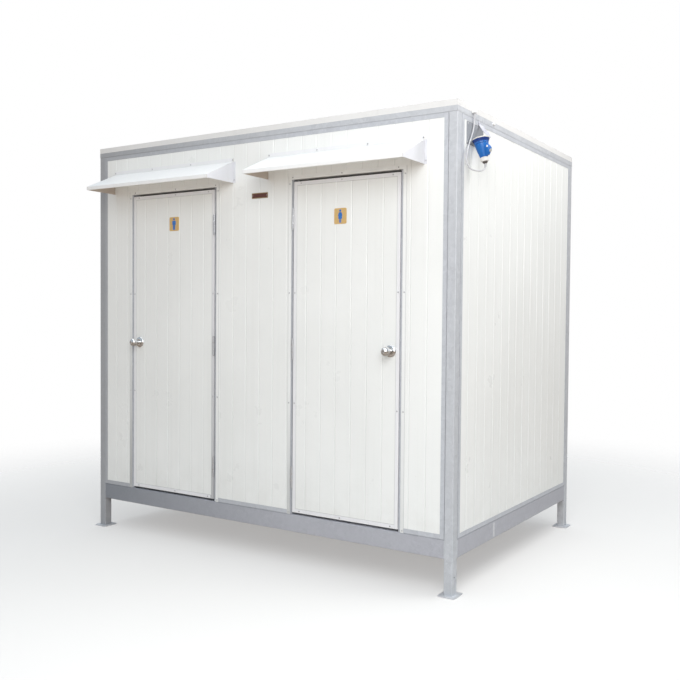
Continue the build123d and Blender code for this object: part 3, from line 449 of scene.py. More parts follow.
# The base rails take a darker copy of the zinc: painted shade for the lower frame getting less light; one ground weld
# shows bright.
RAIL_SHADED = galvanised("galvanised_rail_shaded", (0.484, 0.490, 0.527), (0.414, 0.420, 0.454), patch=weld_patch, left_end_shade=0.60, left_end_shade_grey=(0.110, 0.130, 0.152))
FOOT = galvanised("galvanised_foot", (0.66, 0.67, 0.69), (0.56, 0.57, 0.59))
TRACK = galvanised("galvanised_track", (0.580, 0.597, 0.630), (0.487, 0.503, 0.536), joint_lines, left_end_shade=0.45)
# The jambs take a darker copy of the zinc: painted shade for their place in the door gaps.
JAMB_SHADED = galvanised("galvanised_jamb_shaded", (0.520, 0.535, 0.570), (0.430, 0.445, 0.480), jamb_shade)
# The bracket takes a darker zinc, partly its own grey and partly painted shade from the plug hanging before it.
BRACKET = galvanised("galvanised_bracket", (0.325, 0.338, 0.362), (0.262, 0.274, 0.296))
HINGE = steel("hinge_steel", (0.60, 0.605, 0.62), (0.45, 0.455, 0.47), (0.40, 0.55))
PIN = steel("bright_steel", (0.68, 0.68, 0.68), (0.56, 0.56, 0.565), (0.20, 0.34))
SCREW = steel("zinc_screw", (0.66, 0.665, 0.67), (0.50, 0.50, 0.51), (0.30, 0.46), grain=(200, 200, 200))
CHROME = chrome("chrome")
CERAMIC = ceramic("glazed_ceramic")
PLY = plywood("film_faced_ply")
SEAT = moulded("seat_plastic", (0.87, 0.87, 0.86), (0.83, 0.83, 0.82), (0.12, 0.20), 400, Coat_Weight=0.3)
WHITE = moulded("white_plastic", (0.84, 0.84, 0.82), (0.78, 0.78, 0.76))
CORDM = moulded("cord_sheath", (0.53, 0.53, 0.54), (0.47, 0.47, 0.48), (0.42, 0.58), 1500)
DRAIN = moulded("drain_plastic", (0.36, 0.37, 0.38), (0.31, 0.32, 0.33), (0.34, 0.5))
RUBBER = moulded("black_rubber", (0.030, 0.030, 0.031), (0.018, 0.018, 0.018), (0.5, 0.7), 1200)
COPPER = steel("copper_tube", (0.62, 0.36, 0.24), (0.46, 0.25, 0.16), (0.24, 0.45), grain=(40, 40, 40))
DARK = moulded("keyway_black", (0.02, 0.02, 0.02), (0.012, 0.012, 0.012), (0.5, 0.7))
BRASS = steel("brass_contact", (0.70, 0.55, 0.30), (0.55, 0.42, 0.22), (0.22, 0.36), grain=(90, 90, 90))


def make_opal():
    """Light: white base ring above, opal diffuser below."""
    k = Mat("opal_light", 0.3, Subsurface_Weight=0.15)
    low = k.remap(k.axis(2), 2.4765, 2.4775, 0.0, 1.0)
    k.color(k.mix(low, k.ramp(k.noise(12, 3), (0.3, (0.84, 0.83, 0.79)), (0.7, (0.88, 0.87, 0.83))), (0.76, 0.765, 0.765)))
    k.rough(k.remap(k.noise(300, 3), 0.3, 0.7, 0.22, 0.40))
    k.normal(k.bump(k.cells(260, "Distance"), 0.10, 0.0008))
    return k.m


def make_gold():
    """Sign plate: brushed gold sheet with lighter blotches."""
    k = Mat("sign_gold", 0.4, 0.15)
    g = k.noise(3.0, 5, 0.6, vec=k.stretch((20, 20, 600)))
    base = k.ramp(g, (0.3, (0.62, 0.40, 0.145)), (0.7, (0.72, 0.49, 0.21)))
    blotch = k.remap(k.noise(55, 4, 0.6), 0.5, 0.75, 0.0, 0.45)
    k.color(k.mix(blotch, base, (0.76, 0.56, 0.30)))
    k.rough(k.remap(g, 0.3, 0.7, 0.36, 0.50))
    k.normal(k.bump(g, 0.06, 0.0003))
    return k.m


def make_plate_red():
    k = Mat("plate_red_brown", 0.42)
    g = k.noise(80, 5, 0.65)
    k.color(k.ramp(g, (0.3, (0.085, 0.026, 0.019)), (0.7, (0.125, 0.042, 0.030))))
    k.rough(k.remap(g, 0.3, 0.7, 0.34, 0.52))
    k.normal(k.bump(k.noise(700, 2), 0.08, 0.0003))
    return k.m


OPAL = make_opal()
GOLD = make_gold()
PLATE_RED = make_plate_red()
BLUE_SIGN = moulded("sign_blue", (0.030, 0.175, 0.54), (0.022, 0.145, 0.46), (0.30, 0.42))
BLUE = moulded("plug_blue", (0.014, 0.148, 0.47), (0.010, 0.110, 0.38), (0.26, 0.38), 700, Coat_Weight=0.05, IOR=1.38)
GREY = moulded("plug_grey", (0.42, 0.43, 0.43), (0.36, 0.37, 0.37))
CAP_RIM = moulded("cap_rim", (0.66, 0.645, 0.575), (0.58, 0.565, 0.50))
STRAP = moulded("strap_plastic", (0.50, 0.50, 0.55), (0.45, 0.45, 0.50))
NUT = moulded("gland_white", (0.71, 0.69, 0.66), (0.65, 0.63, 0.60))
SEAL = moulded("gland_seal", (0.085, 0.072, 0.064), (0.060, 0.050, 0.045), (0.5, 0.7), 1200)

LOOKS = {
    "base_rails": RAIL_SHADED, "floor_joists": GALV, "corner_posts": GALV, "base_plates": FOOT, "top_rails": GALV,
    "wall_tracks": TRACK, "door_jambs": JAMB_SHADED, "inlet_bracket": BRACKET,
    "roof_panel": PANEL_FRONT, "wall_panel_left": PANEL_SIDE, "wall_panel_right": PANEL_SIDE,
    "wall_panel_back": PANEL_FRONT, "front_panel_left": PANEL_FRONT, "front_panel_middle": PANEL_FRONT,
    "front_panel_right": PANEL_FRONT, "front_header_panels": PANEL_FRONT, "partition_panel": PANEL_SIDE,
    "door_leaf_left": PANEL_LEAF, "door_leaf_right": PANEL_LEAF,
    "roof_edge_trim": ROOF_TRIM, "door_surround_trims": TRIM, "door_edge_trim_left": LEAF_TRIM,
    "door_edge_trim_right": LEAF_TRIM, "door_canopies": CANOPY,
    "hinge_frame_leaves": HINGE, "hinge_leaves_left": HINGE, "hinge_leaves_right": HINGE, "hinge_pins": PIN,
    "lock_trim_left": CHROME, "lock_trim_right": CHROME, "door_knob_left": CHROME, "door_knob_right": CHROME,
    "latch_bolt_left": PIN, "latch_bolt_right": PIN, "seat_hinge_rods": CHROME,
    "flush_button_left": CHROME, "flush_button_right": CHROME,
    "fixing_screws": SCREW, "door_screws_left": SCREW, "door_screws_right": SCREW,
    "floor_deck": PLY, "sign_plate_left": GOLD, "sign_plate_right": GOLD, "name_plate": PLATE_RED,
    "supply_plug": BLUE, "cord_gland": WHITE, "plug_gland": WHITE, "plug_strap": WHITE, "vent_grilles": WHITE,
    "ceiling_lights": OPAL, "supply_cord": CORDM, "wc_pans": CERAMIC, "cisterns": CERAMIC,
    "cistern_lids": CERAMIC, "wc_seat_left": SEAT, "wc_seat_right": SEAT, "wc_lid_left": SEAT,
    "wc_lid_right": SEAT, "soil_pipes": DRAIN, "water_pipe": COPPER,
}
for name, ob in nodes.items():
    if not ob.material_slots:
        ob.data.materials.append(LOOKS[name])
    for s in ob.material_slots:
        s.material = LOOKS[name]


# ------------------------------------------------------------------ mesh tools
def add(name, verts, faces, mat, body, slot=None, angle=38.0):
    me = bpy.data.meshes.new(name)
    me.from_pydata([tuple(v) for v in verts], [], faces)
    me.validate()
    bm = bmesh.new()
    bm.from_mesh(me)
    bmesh.ops.recalc_face_normals(bm, faces=bm.faces)
    bm.to_mesh(me)
    bm.free()
    me.polygons.foreach_set("use_smooth", [True] * len(me.polygons))
    me.set_sharp_from_angle(angle=math.radians(angle))
    me.materials.append(mat)
    ob = bpy.data.objects.new(name, me)
    scene.collection.objects.link(ob)
    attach(ob, body)
    return ob


def basis(origin, axis, x_dir):
    z = Vector(axis).normalized()
    x = Vector(x_dir)
    x = (x - z * x.dot(z)).normalized()
    y = z.cross(x)
    return Vector(origin), x, y, z


def lathe(frame_, profile, seg=48, wobble=None, close=False):
    """Turn (radius, height) points round an axis. wobble(angle, index) scales the radius."""
    o, x, y, z = frame_
    verts, rings = [], []
    for i, (r, h) in enumerate(profile):
        if r < 1e-9:
            rings.append([len(verts)])
            verts.append(o + z * h)
            continue
        ring = []
        for j in range(seg):
            a = 2 * math.pi * j / seg
            k = r * (wobble(a, i) if wobble else 1.0)
            ring.append(len(verts))
            verts.append(o + (x * math.cos(a) + y * math.sin(a)) * k + z * h)
        rings.append(ring)
    faces = []
    pairs = list(zip(rings, rings[1:])) + ([(rings[-1], rings[0])] if close else [])
    for a, b in pairs:
        for j in range(seg):
            k = (j + 1) % seg
            q = [a[j % len(a)], a[k % len(a)], b[k % len(b)], b[j % len(b)]]
            q = list(dict.fromkeys(q))
            if len(q) > 2:
                faces.append(tuple(q))
    return verts, faces


def merge(*parts):
    verts, faces = [], []
    for v, f in parts:
        n = len(verts)
        verts += list(v)
        faces += [tuple(i + n for i in q) for q in f]
    return verts, faces


def tube(points, radius, seg=10, flat=1.0, ripple=None, side=None):
    """A closed tube along points. ripple(i) scales its radius, flat its thickness along side."""
    pts = [Vector(p) for p in points]
    verts, faces = [], []
    n = len(pts)
    for i, p in enumerate(pts):
        t = (pts[min(i + 1, n - 1)] - pts[max(i - 1, 0)]).normalized()
        s = Vector(side) if side else Vector((0, 0, 1)) if abs(t.z) < 0.9 else Vector((1, 0, 0))
        u = (s - t * s.dot(t)).normalized()
        v = t.cross(u)
        r = radius * (ripple(i) if ripple else 1.0)
        for j in range(seg):
            a = 2 * math.pi * j / seg
            verts.append(p + u * math.cos(a) * r * flat + v * math.sin(a) * r)
    for i in range(n - 1):
        for j in range(seg):
            k = (j + 1) % seg
            faces.append((i * seg + j, i * seg + k, (i + 1) * seg + k, (i + 1) * seg + j))
    faces.append(tuple(range(seg)))
    faces.append(tuple((n - 1) * seg + j for j in range(seg)))
    return verts, faces


def rounded(points, radius, steps=5):
    """A polygon with its corners rounded, in two dimensions."""
    out = []
    n = len(points)
    for i in range(n):
        p, a, b = (Vector(points[i]), Vector(points[i - 1]), Vector(points[(i + 1) % n]))
        da, db = (a - p), (b - p)
        r = radius[i] if isinstance(radius, (list, tuple)) else radius
        half = da.angle(db) / 2
        cut = min(r / math.tan(half), 0.49 * da.length, 0.49 * db.length)
        s, e = p + da.normalized() * cut, p + db.normalized() * cut
        for k in range(steps + 1):
            t = k / steps
            out.append((s * (1 - t) + p * t) * (1 - t) + (p * (1 - t) + e * t) * t)
    return out


def plate(frame_, outline, depth, edge):
    """A flat plate with a rounded-over front edge. The frame's z axis points out of the surface."""
    o, x, y, z = frame_
    c = sum((Vector(p) for p in outline), Vector((0, 0))) / len(outline)
    n = len(outline)
    verts, rings = [], []
    inset = []
    for i in range(n):
        a, b = Vector(outline[i - 1]), Vector(outline[(i + 1) % n])
        t = (b - a).normalized()
        inset.append(Vector((-t.y, t.x)))
    area = sum(outline[i - 1][0] * outline[i][1] - outline[i][0] * outline[i - 1][1] for i in range(n))
    sgn = 1 if area > 0 else -1
    for h, k in ((0, 0), (depth - edge, 0), (depth - edge * 0.3, edge * 0.3), (depth, edge)):
        rings.append([len(verts) + i for i in range(n)])
        for p, m in zip(outline, inset):
            q = Vector(p) + m * sgn * k
            verts.append(o + x * q.x + y * q.y + z * h)
    faces = []
    for a, b in zip(rings, rings[1:]):
        faces += [(a[i], a[(i + 1) % n], b[(i + 1) % n], b[i]) for i in range(n)]
    faces += [tuple(reversed(rings[0])), tuple(rings[-1])]
    return verts, faces


def screw_template():
    """A pan head with a cross recess, of radius 1 and height about 0.5."""
    bm = bmesh.new()
    seg = 24
    prev = None
    for r, h in ((1.0, 0.0), (1.0, 0.10), (0.95, 0.27), (0.80, 0.41), (0.58, 0.48)):
        ring = [bm.verts.new((r * math.cos(2 * math.pi * j / seg), r * math.sin(2 * math.pi * j / seg), h))
                for j in range(seg)]
        if prev:
            for j in range(seg):
                k = (j + 1) % seg
                bm.faces.new((prev[j], prev[k], ring[k], ring[j]))
        else:
            bm.faces.new(list(reversed(ring)))
        prev = ring
    w, l = 0.12, 0.45
    plan = [(l, -w), (l, w), (w, w), (w, l), (-w, l), (-w, w), (-l, w), (-l, -w), (-w, -w), (-w, -l), (w, -l), (w, -w)]
    top = [bm.verts.new((x, y, 0.49)) for x, y in plan]
    low = [bm.verts.new((x * 0.72, y * 0.72, 0.16)) for x, y in plan]
    for i in range(12):
        k = (i + 1) % 12
        bm.faces.new((top[i], top[k], low[k], low[i]))
    bm.faces.new(low)
    edges = [bm.edges.get((prev[j], prev[(j + 1) % seg])) for j in range(seg)]
    edges += [bm.edges.get((top[i], top[(i + 1) % 12])) for i in range(12)]
    bmesh.ops.triangle_fill(bm, use_beauty=True, edges=edges, normal=(0, 0, 1))
    bm.verts.index_update()
    verts = [v.co.copy() for v in bm.verts]
    faces = [tuple(v.index for v in f.verts) for f in bm.faces]
    bm.free()
    return verts, faces


SCREW_V, SCREW_F = screw_template()


def screws(name, spots, body, replaced, mat=SCREW):
    """Screw heads at (foot point, outward direction, radius, height); their recesses all turn differently."""
    parts = []
    for i, (p, d, r, h) in enumerate(spots):
        o, x, y, z = basis(p, d, (0, 0, 1) if abs(d[2]) < 0.9 else (1, 0, 0))
        a = math.radians(137.5 * i + 20)
        c, s = math.cos(a), math.sin(a)
        parts.append(([o + (x * (v.x * c - v.y * s) + y * (v.x * s + v.y * c)) * r + z * v.z * h / 0.49
                       for v in SCREW_V], SCREW_F))
    ob = add(name, *merge(*parts), mat, body, "screw_steel", 30)
    if replaced:
        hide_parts(replaced)
    return ob


# ------------------------------------------------------------------ supply cord, plug, strap
CORD = [(0.011, 0.170, 2.490), (0.011, 0.168, 2.453), (0.011, 0.1585, 2.410), (0.010, 0.140, 2.365), (0.013, 0.105, 2.320),
        (0.0195, 0.073, 2.275), (0.023, 0.054, 2.235), (0.031, 0.056, 2.196), (0.047, 0.082, 2.176), (0.0794, 0.1331, 2.1786),
        (0.0854, 0.1554, 2.2035), (0.082, 0.1551, 2.2191)]
CORD = [(HW + x, YF + y, z) for x, y, z in CORD]
CORD_D = 0.008

curve = bpy.data.curves.new("supply_cord_line", "CURVE")
curve.dimensions = "3D"
curve.resolution_u = 12
curve.bevel_depth = CORD_D / 2
curve.bevel_resolution = 5
curve.use_fill_caps = True
spline = curve.splines.new("NURBS")
spline.points.add(len(CORD) - 1)
for pt, p in zip(spline.points, CORD):
    pt.co = (*p, 1.0)
spline.order_u = 3
spline.use_endpoint_u = True
curve.materials.append(CORDM)
cord = bpy.data.objects.new("supply_cord_sheath", curve)
scene.collection.objects.link(cord)
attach(cord, "cabin")
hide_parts("supply_cord")

PLUG_AX = Vector((0.211, 0.019, -0.977)).normalized()
PLUG_L = 0.133
mouth = Vector(CORD[-1]) - PLUG_AX * (PLUG_L + 0.00005)
plug_frame = basis(mouth, PLUG_AX, (0.996, -0.091, 0))


def flutes(count, depth, rows):
    return lambda a, i: 1.0 - (depth * (0.5 - 0.5 * math.cos(count * a)) if i in rows else 0.0)


# collar: flared shroud with a rounded lip and grip flutes, open at the mouth
collar = lathe(plug_frame, [(0.0343, 0.0290), (0.0343, 0.0010), (0.0352, 0.0), (0.0446, 0.0), (0.0460, 0.0014),
                            (0.0460, 0.0068), (0.0448, 0.0092), (0.0418, 0.0150), (0.0388, 0.0210),
                            (0.0376, 0.0240), (0.0376, 0.0268), (0.0366, 0.0276), (0.0350, 0.0290)],
               72, flutes(24, 0.022, (7, 8)), close=True)


def collar_blue(name):
    """The collar is dark at its mouth and takes the housing's blue where it narrows."""
    k = Mat(name, 0.3)
    deep = k.remap(k.along(tuple(PLUG_AX), tuple(mouth)), 0.0150, 0.0250, 1.0, 0.0, True)
    k.color(k.mix(deep, k.ramp(k.noise(28, 4, 0.6), (0.3, (0.017, 0.118, 0.41)), (0.7, (0.024, 0.155, 0.50))), (0.006, 0.034, 0.19)))
    k.rough(k.remap(k.noise(45, 4), 0.3, 0.7, 0.24, 0.36))
    k.normal(k.bump(k.noise(700, 2, 0.5), 0.10, 0.0004))
    return k.m


collar_ob = add("plug_collar", *collar, collar_blue("plug_collar_blue"), "cabin", "plug_blue")
# body: tapering housing, its grip fluted along the middle
body_prof = [(0.0, 0.0302), (0.0340, 0.0302), (0.0362, 0.0304), (0.0366, 0.0318), (0.0358, 0.0380), (0.0338, 0.0480),
             (0.0312, 0.0600), (0.0282, 0.0720), (0.0250, 0.0840), (0.0227, 0.0920), (0.0214, 0.0960),
             (0.0206, 0.0982), (0.0196, 0.0990), (0.0, 0.0990)]
body_ob = add("plug_body", *lathe(plug_frame, body_prof, 96, flutes(16, 0.035, (6, 7, 8, 9))), BLUE, "cabin", "plug_blue")
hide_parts("supply_plug")

# lobe on the side: lofted ring by ring, with a rounded top and toe
o, px, py, pz = plug_frame
lobe_v, lobe_f, seg = [], [], 40
rows = [(0.0392, 0.0220, 0.0120, 0.0085), (0.0400, 0.0220, 0.0165, 0.0118), (0.0440, 0.0238, 0.0192, 0.0140),
        (0.0540, 0.0275, 0.0212, 0.0156), (0.0640, 0.0297, 0.0222, 0.0163), (0.0725, 0.0266, 0.0210, 0.0152),
        (0.0810, 0.0226, 0.0194, 0.0139), (0.0895, 0.0188, 0.0176, 0.0125), (0.0936, 0.0172, 0.0152, 0.0105),
        (0.0948, 0.0166, 0.0110, 0.0075)]
for h, cx, a, b in rows:
    for j in range(seg):
        t = 2 * math.pi * j / seg
        ct, st = math.cos(t), math.sin(t)
        lobe_v.append(o + px * (cx + a * math.copysign(abs(ct) ** 0.75, ct)) + py * b * math.copysign(abs(st) ** 0.75, st) + pz * h)
for i in range(len(rows) - 1):
    for j in range(seg):
        k = (j + 1) % seg
        lobe_f.append((i * seg + j, i * seg + k, (i + 1) * seg + k, (i + 1) * seg + j))
lobe_f += [tuple(range(seg)), tuple((len(rows) - 1) * seg + j for j in range(seg))]
lobe_ob = add("plug_lobe", lobe_v, lobe_f, BLUE, "cabin", "plug_blue", 50)

# white screw cap and grey cover disc on the lobe
dot_at = o + px * 0.0375 + py * 0.0152 + pz * 0.053
dot_ob = add("plug_screw_cap", *lathe(basis(dot_at, py, px), [(0.0, -0.001), (0.0052, -0.001), (0.0052, 0.0012),
                                                             (0.0042, 0.0022), (0.0, 0.0024)], 24), WHITE, "cabin", "white_plastic")
disc_at = o + px * 0.0452 + pz * 0.0755
disc_ob = add("plug_cover_disc", *lathe(basis(disc_at, px * 0.89 + pz * 0.46, py), [(0.0, -0.002), (0.0098, -0.002), (0.0098, 0.0006),
                                                                            (0.0085, 0.0017), (0.0, 0.0020)], 32), GREY, "cabin", "white_plastic")
rim_ob = add("plug_mouth_rim", *lathe(plug_frame, [(0.0440, -0.0006), (0.0462, -0.0004), (0.0468, 0.0010), (0.0468, 0.0040),
                                                   (0.0458, 0.0054), (0.0440, 0.0054)], 72, close=True), CAP_RIM, "cabin", "white_plastic")
pins = []
for a in (90, 210, 330):
    c = o + (px * math.cos(math.radians(a)) + py * math.sin(math.radians(a))) * 0.017
    pins.append(lathe(basis(c, -PLUG_AX, px), [(0.0, -0.031), (0.0030, -0.031), (0.0030, -0.0075), (0.0022, -0.0055), (0.0, -0.005)], 20))
pins_ob = add("plug_contact_pins", *merge(*pins), BRASS, "cabin")

# gland: ribbed white nut and a dark sealing end, with a tapered cord guard
nut_prof = [(0.0, 0.0992), (0.0180, 0.0992), (0.0205, 0.1002), (0.0212, 0.1022), (0.0212, 0.1168), (0.0200, 0.1200),
            (0.0165, 0.1215), (0.0, 0.1215)]
nut_ob = add("plug_gland_nut", *lathe(plug_frame, nut_prof, 96, flutes(16, 0.075, (3, 4))), NUT, "cabin", "white_plastic")
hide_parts("plug_gland")
seal_prof = [(0.0, 0.1216), (0.0140, 0.1216), (0.0140, 0.1245), (0.0122, 0.1268), (0.0095, 0.1305), (0.0066, 0.1330),
             (0.0045, 0.1332), (0.0, 0.1332)]
seal_ob = add("plug_gland_seal", *lathe(plug_frame, seal_prof, 48), SEAL, "cabin")

# bend relief: a ribbed sleeve that follows the cord's last bend into the plug
def spline_end(points, steps):
    """Points along the last span of the cord's curve, from its end backwards."""
    a, b, c = (Vector(p) for p in (points[-1], points[-2], points[-3]))
    m_ = (b + c) / 2
    return [a * (1 - u) ** 2 + b * 2 * u * (1 - u) + m_ * u * u for u in (0.76 * i / steps for i in range(steps + 1))]


sleeve_path = spline_end(CORD, 44)
SLEEVE = len(sleeve_path) - 1


def sleeve_ripple(i):
    taper = 1.0 - 0.36 * i / SLEEVE
    return taper * (0.90 if 4 < i < SLEEVE - 2 and i % 5 in (0, 1) else 1.0)


sleeve_ob = add("cord_bend_relief", *tube(sleeve_path, 0.0070, 24, 1.0, sleeve_ripple), CORDM, "cabin", "cord_white", 60)

# strap: a flat band riveted to the channel under the top rail and hooked over the collar
A, B = Vector((HW + 0.0030, YF + 0.241, 2.4635)), Vector((HW + 0.0915, YF + 0.1755, 2.3530))
strap_v, strap_f = [], []
ctrl = [A, Vector((HW + 0.0030, YF + 0.241, 2.4470)), Vector((HW + 0.0160, YF + 0.2320, 2.4370)),
        Vector((HW + 0.0480, YF + 0.2080, 2.4020)), Vector((HW + 0.0860, YF + 0.1795, 2.3720)), B]
line = bpy.data.curves.new("strap_line", "CURVE")
line.dimensions = "3D"
line.resolution_u = 12
sp = line.splines.new("NURBS")
sp.points.add(len(ctrl) - 1)
for pt, p in zip(sp.points, ctrl):
    pt.co = (*p, 1.0)
sp.order_u = 3
sp.use_endpoint_u = True
tmp = bpy.data.objects.new("strap_line", line)
scene.collection.objects.link(tmp)
path = [v.co.copy() for v in bpy.data.meshes.new_from_object(tmp).vertices]
bpy.data.objects.remove(tmp)
half, thick = 0.009, 0.0013
section = [(-half, -thick * 0.4), (-half + 0.0006, -thick), (half - 0.0006, -thick), (half, -thick * 0.4),
           (half, thick * 0.4), (half - 0.0006, thick), (-half + 0.0006, thick), (-half, thick * 0.4)]
wide = Vector((0.784, 0.461, 0.416)).normalized()
for i, p in enumerate(path):
    t = (path[min(i + 1, len(path) - 1)] - path[max(i - 1, 0)]).normalized()
    w0 = Vector((0, 1, 0)).lerp(wide, min(1.0, max(0.0, (i / len(path) - 0.15) / 0.45)))
    u = (w0 - t * w0.dot(t)).normalized()
    v = t.cross(u)
    strap_v += [p + u * a + v * b for a, b in section]
m = len(section)
for i in range(len(path) - 1):
    strap_f += [(i * m + j, i * m + (j + 1) % m, (i + 1) * m + (j + 1) % m, (i + 1) * m + j) for j in range(m)]
strap_f += [tuple(range(m)), tuple((len(path) - 1) * m + j for j in range(m))]
strap_ob = add("plug_hanger_strap", strap_v, strap_f, STRAP, "cabin", "white_plastic", 50)
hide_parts("plug_strap")
rivets = [lathe(basis((HW + 0.0042, YF + 0.241, 2.456), (1, 0, 0), (0, 1, 0)),
                [(0.0, -0.0004), (0.0042, -0.0004), (0.0040, 0.0008), (0.0028, 0.0019), (0.0, 0.0023)], 24)]
rivet_ob = add("strap_rivet", *merge(*rivets), PIN, "cabin", "pin_steel")

# ------------------------------------------------------------------ screws
HOOD = {"left": -0.678, "right": 0.638}
spots = []
out = (0, -1, 0)
for side, s in SIDES:
    xc = HOOD[side]
    spots += [((xc + x, YF - SHEET, 2.351), out, 0.0045, 0.0024) for x in (-0.516, -0.170, 0.170, 0.516)]
    spots += [((xc + e * 0.5314, YF - SHEET, 2.232), out, 0.0045, 0.0024) for e in (-1, 1)]
    spots += [((s * x, YF - SHEET, 2.211), out, 0.0045, 0.0024) for x in (0.298, 0.640, 1.005)]
    spots += [((s * x, YF - SHEET, z), out, 0.0045, 0.0024) for x in (0.278, 1.047) for z in (0.302, 0.930, 1.558, 2.176)]
spots += [((HW + 0.003, YF + y, z), (1, 0, 0), 0.005, 0.0024) for y in (0.110, 0.278) for z in (2.332, 2.425)]
screws("wall_screw_heads", spots, "cabin", "fixing_screws")
for side, s in SIDES:
    spots = [((s * x, YF, z), out, 0.0045, 0.002) for x in (0.317, 1.009) for z in (0.930, 1.558)]
    spots += [((s * x, YF, z), out, 0.0045, 0.002) for x in (0.357, 0.640, 0.971) for z in (0.314, 2.176)]
    screws(f"leaf_screw_heads_{side}", spots, f"door_{side}", f"door_screws_{side}")


# ------------------------------------------------------------------ signs and plates
def figure(dress):
    """Outlines of a plain standing figure: head, and body with or without a skirt. Millimetres."""
    head = [(7.2 * math.cos(2 * math.pi * i / 28), 31 + 7.2 * math.sin(2 * math.pi * i / 28)) for i in range(28)]
    if dress:
        half = [(6.5, 21.5), (10.0, 19.5), (16.0, -1.0), (12.8, -2.2), (8.4, 11.0), (14.0, -15.5), (6.8, -15.5), (6.8, -38.5),
                (1.4, -38.5), (1.4, -15.5)]
    else:
        half = [(10.5, 21.5), (15.5, 17.5), (15.5, -6.5), (11.4, -6.5), (11.4, 13.0), (9.6, 13.0), (9.6, -38.5), (1.1, -38.5),
                (1.1, -8.0)]
    body = half + [(-x, z) for x, z in reversed(half)]
    return head, rounded(body, 1.5, 4)


SIGN_AT = {"left": (-0.651, 1.995), "right": (0.631, 1.977)}
for side, s in SIDES:
    fr = basis((SIGN_AT[side][0], YF + 0.001 - 0.0025, SIGN_AT[side][1]), (0, -1, 0), (1, 0, 0))
    head, body = figure(side == "right")
    parts = [plate(fr, [(x * 0.00095, z * 0.00095) for x, z in pts], 0.0012, 0.0003) for pts in (head, body)]
    add(f"sign_figure_{side}", *merge(*parts), BLUE_SIGN, f"door_{side}", None, 30)

# blank name plate: a raised frame and two rivets
NP = basis((0.052, YF - 0.0015, 2.126), (0, -1, 0), (1, 0, 0))


def ring_plate(fr, w, h, band, r, depth):
    o_, x_, y_, z_ = fr
    def loop(dw):
        pts = rounded([(-w / 2 + dw, -h / 2 + dw), (w / 2 - dw, -h / 2 + dw), (w / 2 - dw, h / 2 - dw),
                       (-w / 2 + dw, h / 2 - dw)], max(r - dw, 0.0006), 5)
        return pts
    rings = [(loop(0), 0), (loop(0), depth * 0.6), (loop(band * 0.3), depth), (loop(band * 0.7), depth), (loop(band), depth * 0.6), (loop(band), 0)]
    verts, faces = [], []
    n = len(rings[0][0])
    for pts, d in rings:
        verts += [o_ + x_ * p[0] + y_ * p[1] + z_ * d for p in pts]
    m_ = len(rings)
    for i in range(m_):
        a, b = i * n, ((i + 1) % m_) * n
        faces += [(a + j, a + (j + 1) % n, b + (j + 1) % n, b + j) for j in range(n)]
    return verts, faces


add("name_plate_rim", *ring_plate(NP, 0.120, 0.030, 0.0026, 0.0025, 0.0009), BRASS, "cabin", None)
rv = [lathe(basis((0.052 + e * 0.053, YF - 0.0015, 2.126), (0, -1, 0), (1, 0, 0)),
            [(0.0, -0.0002), (0.0026, -0.0002), (0.0025, 0.0006), (0.0018, 0.0013), (0.0, 0.0016)], 20) for e in (-1, 1)]
add("name_plate_rivets", *merge(*rv), PIN, "cabin", "pin_steel")

# ------------------------------------------------------------------ knob faces: key cylinder outside, plain cap inside
for side, s in SIDES:
    kx, kz = s * 0.964, 1.247
    tip = YF + 0.001 - 0.072
    fr = basis((kx, tip, kz), (0, -1, 0), (1, 0, 0))
    cyl = lathe(fr, [(0.0, -0.0004), (0.0078, -0.0004), (0.0078, 0.0010), (0.0072, 0.0016), (0.0, 0.0016)], 36)
    add(f"knob_cylinder_{side}", *cyl, PIN, f"knob_{side}", "pin_steel")
    slot_pts = rounded([(-0.0011, -0.0048), (0.0011, -0.0048), (0.0011, 0.0014), (0.0019, 0.0024), (0.0019, 0.0048),
                        (-0.0019, 0.0048), (-0.0019, 0.0024), (-0.0011, 0.0014)], 0.0005, 3)
    fr2 = basis((kx, tip - 0.0015, kz), (0, -1, 0), (1, 0, 0))
    add(f"knob_keyway_{side}", *plate(fr2, [tuple(p) for p in slot_pts], 0.0003, 0.00005), DARK, f"knob_{side}")
    inner = basis((kx, YF + 0.039 + 0.072, kz), (0, 1, 0), (-1, 0, 0))
    cap = lathe(inner, [(0.0, -0.0006), (0.0092, -0.0006), (0.0092, 0.0006), (0.0084, 0.0012), (0.0070, 0.0009), (0.0, 0.0006)], 36)
    add(f"knob_inner_cap_{side}", *cap, CHROME, f"knob_{side}", "chrome")


# ------------------------------------------------------------------ weld beads on the frame
def bead(a, b, r, n, phase):
    """A rippled weld bead from a to b, flattened along its outward direction n."""
    a, b = Vector(a), Vector(b)
    length = (b - a).length
    count = max(8, int(length / 0.0013))
    pts, scale = [], []
    for i in range(count + 1):
        t = i / count
        d = t * length
        wander = 0.00035 * math.sin(d * 410 + phase) + 0.00025 * math.sin(d * 173 + 2 * phase)
        pts.append(a.lerp(b, t) + Vector(n).cross((b - a).normalized()) * wander)
        end = min(1.0, 0.35 + min(d, length - d) / 0.004)
        scale.append((0.86 + 0.20 * abs(math.sin(d / 0.0042 * math.pi + phase))) * end)
    return tube(pts, r, 8, 0.62, lambda i: scale[i], n)


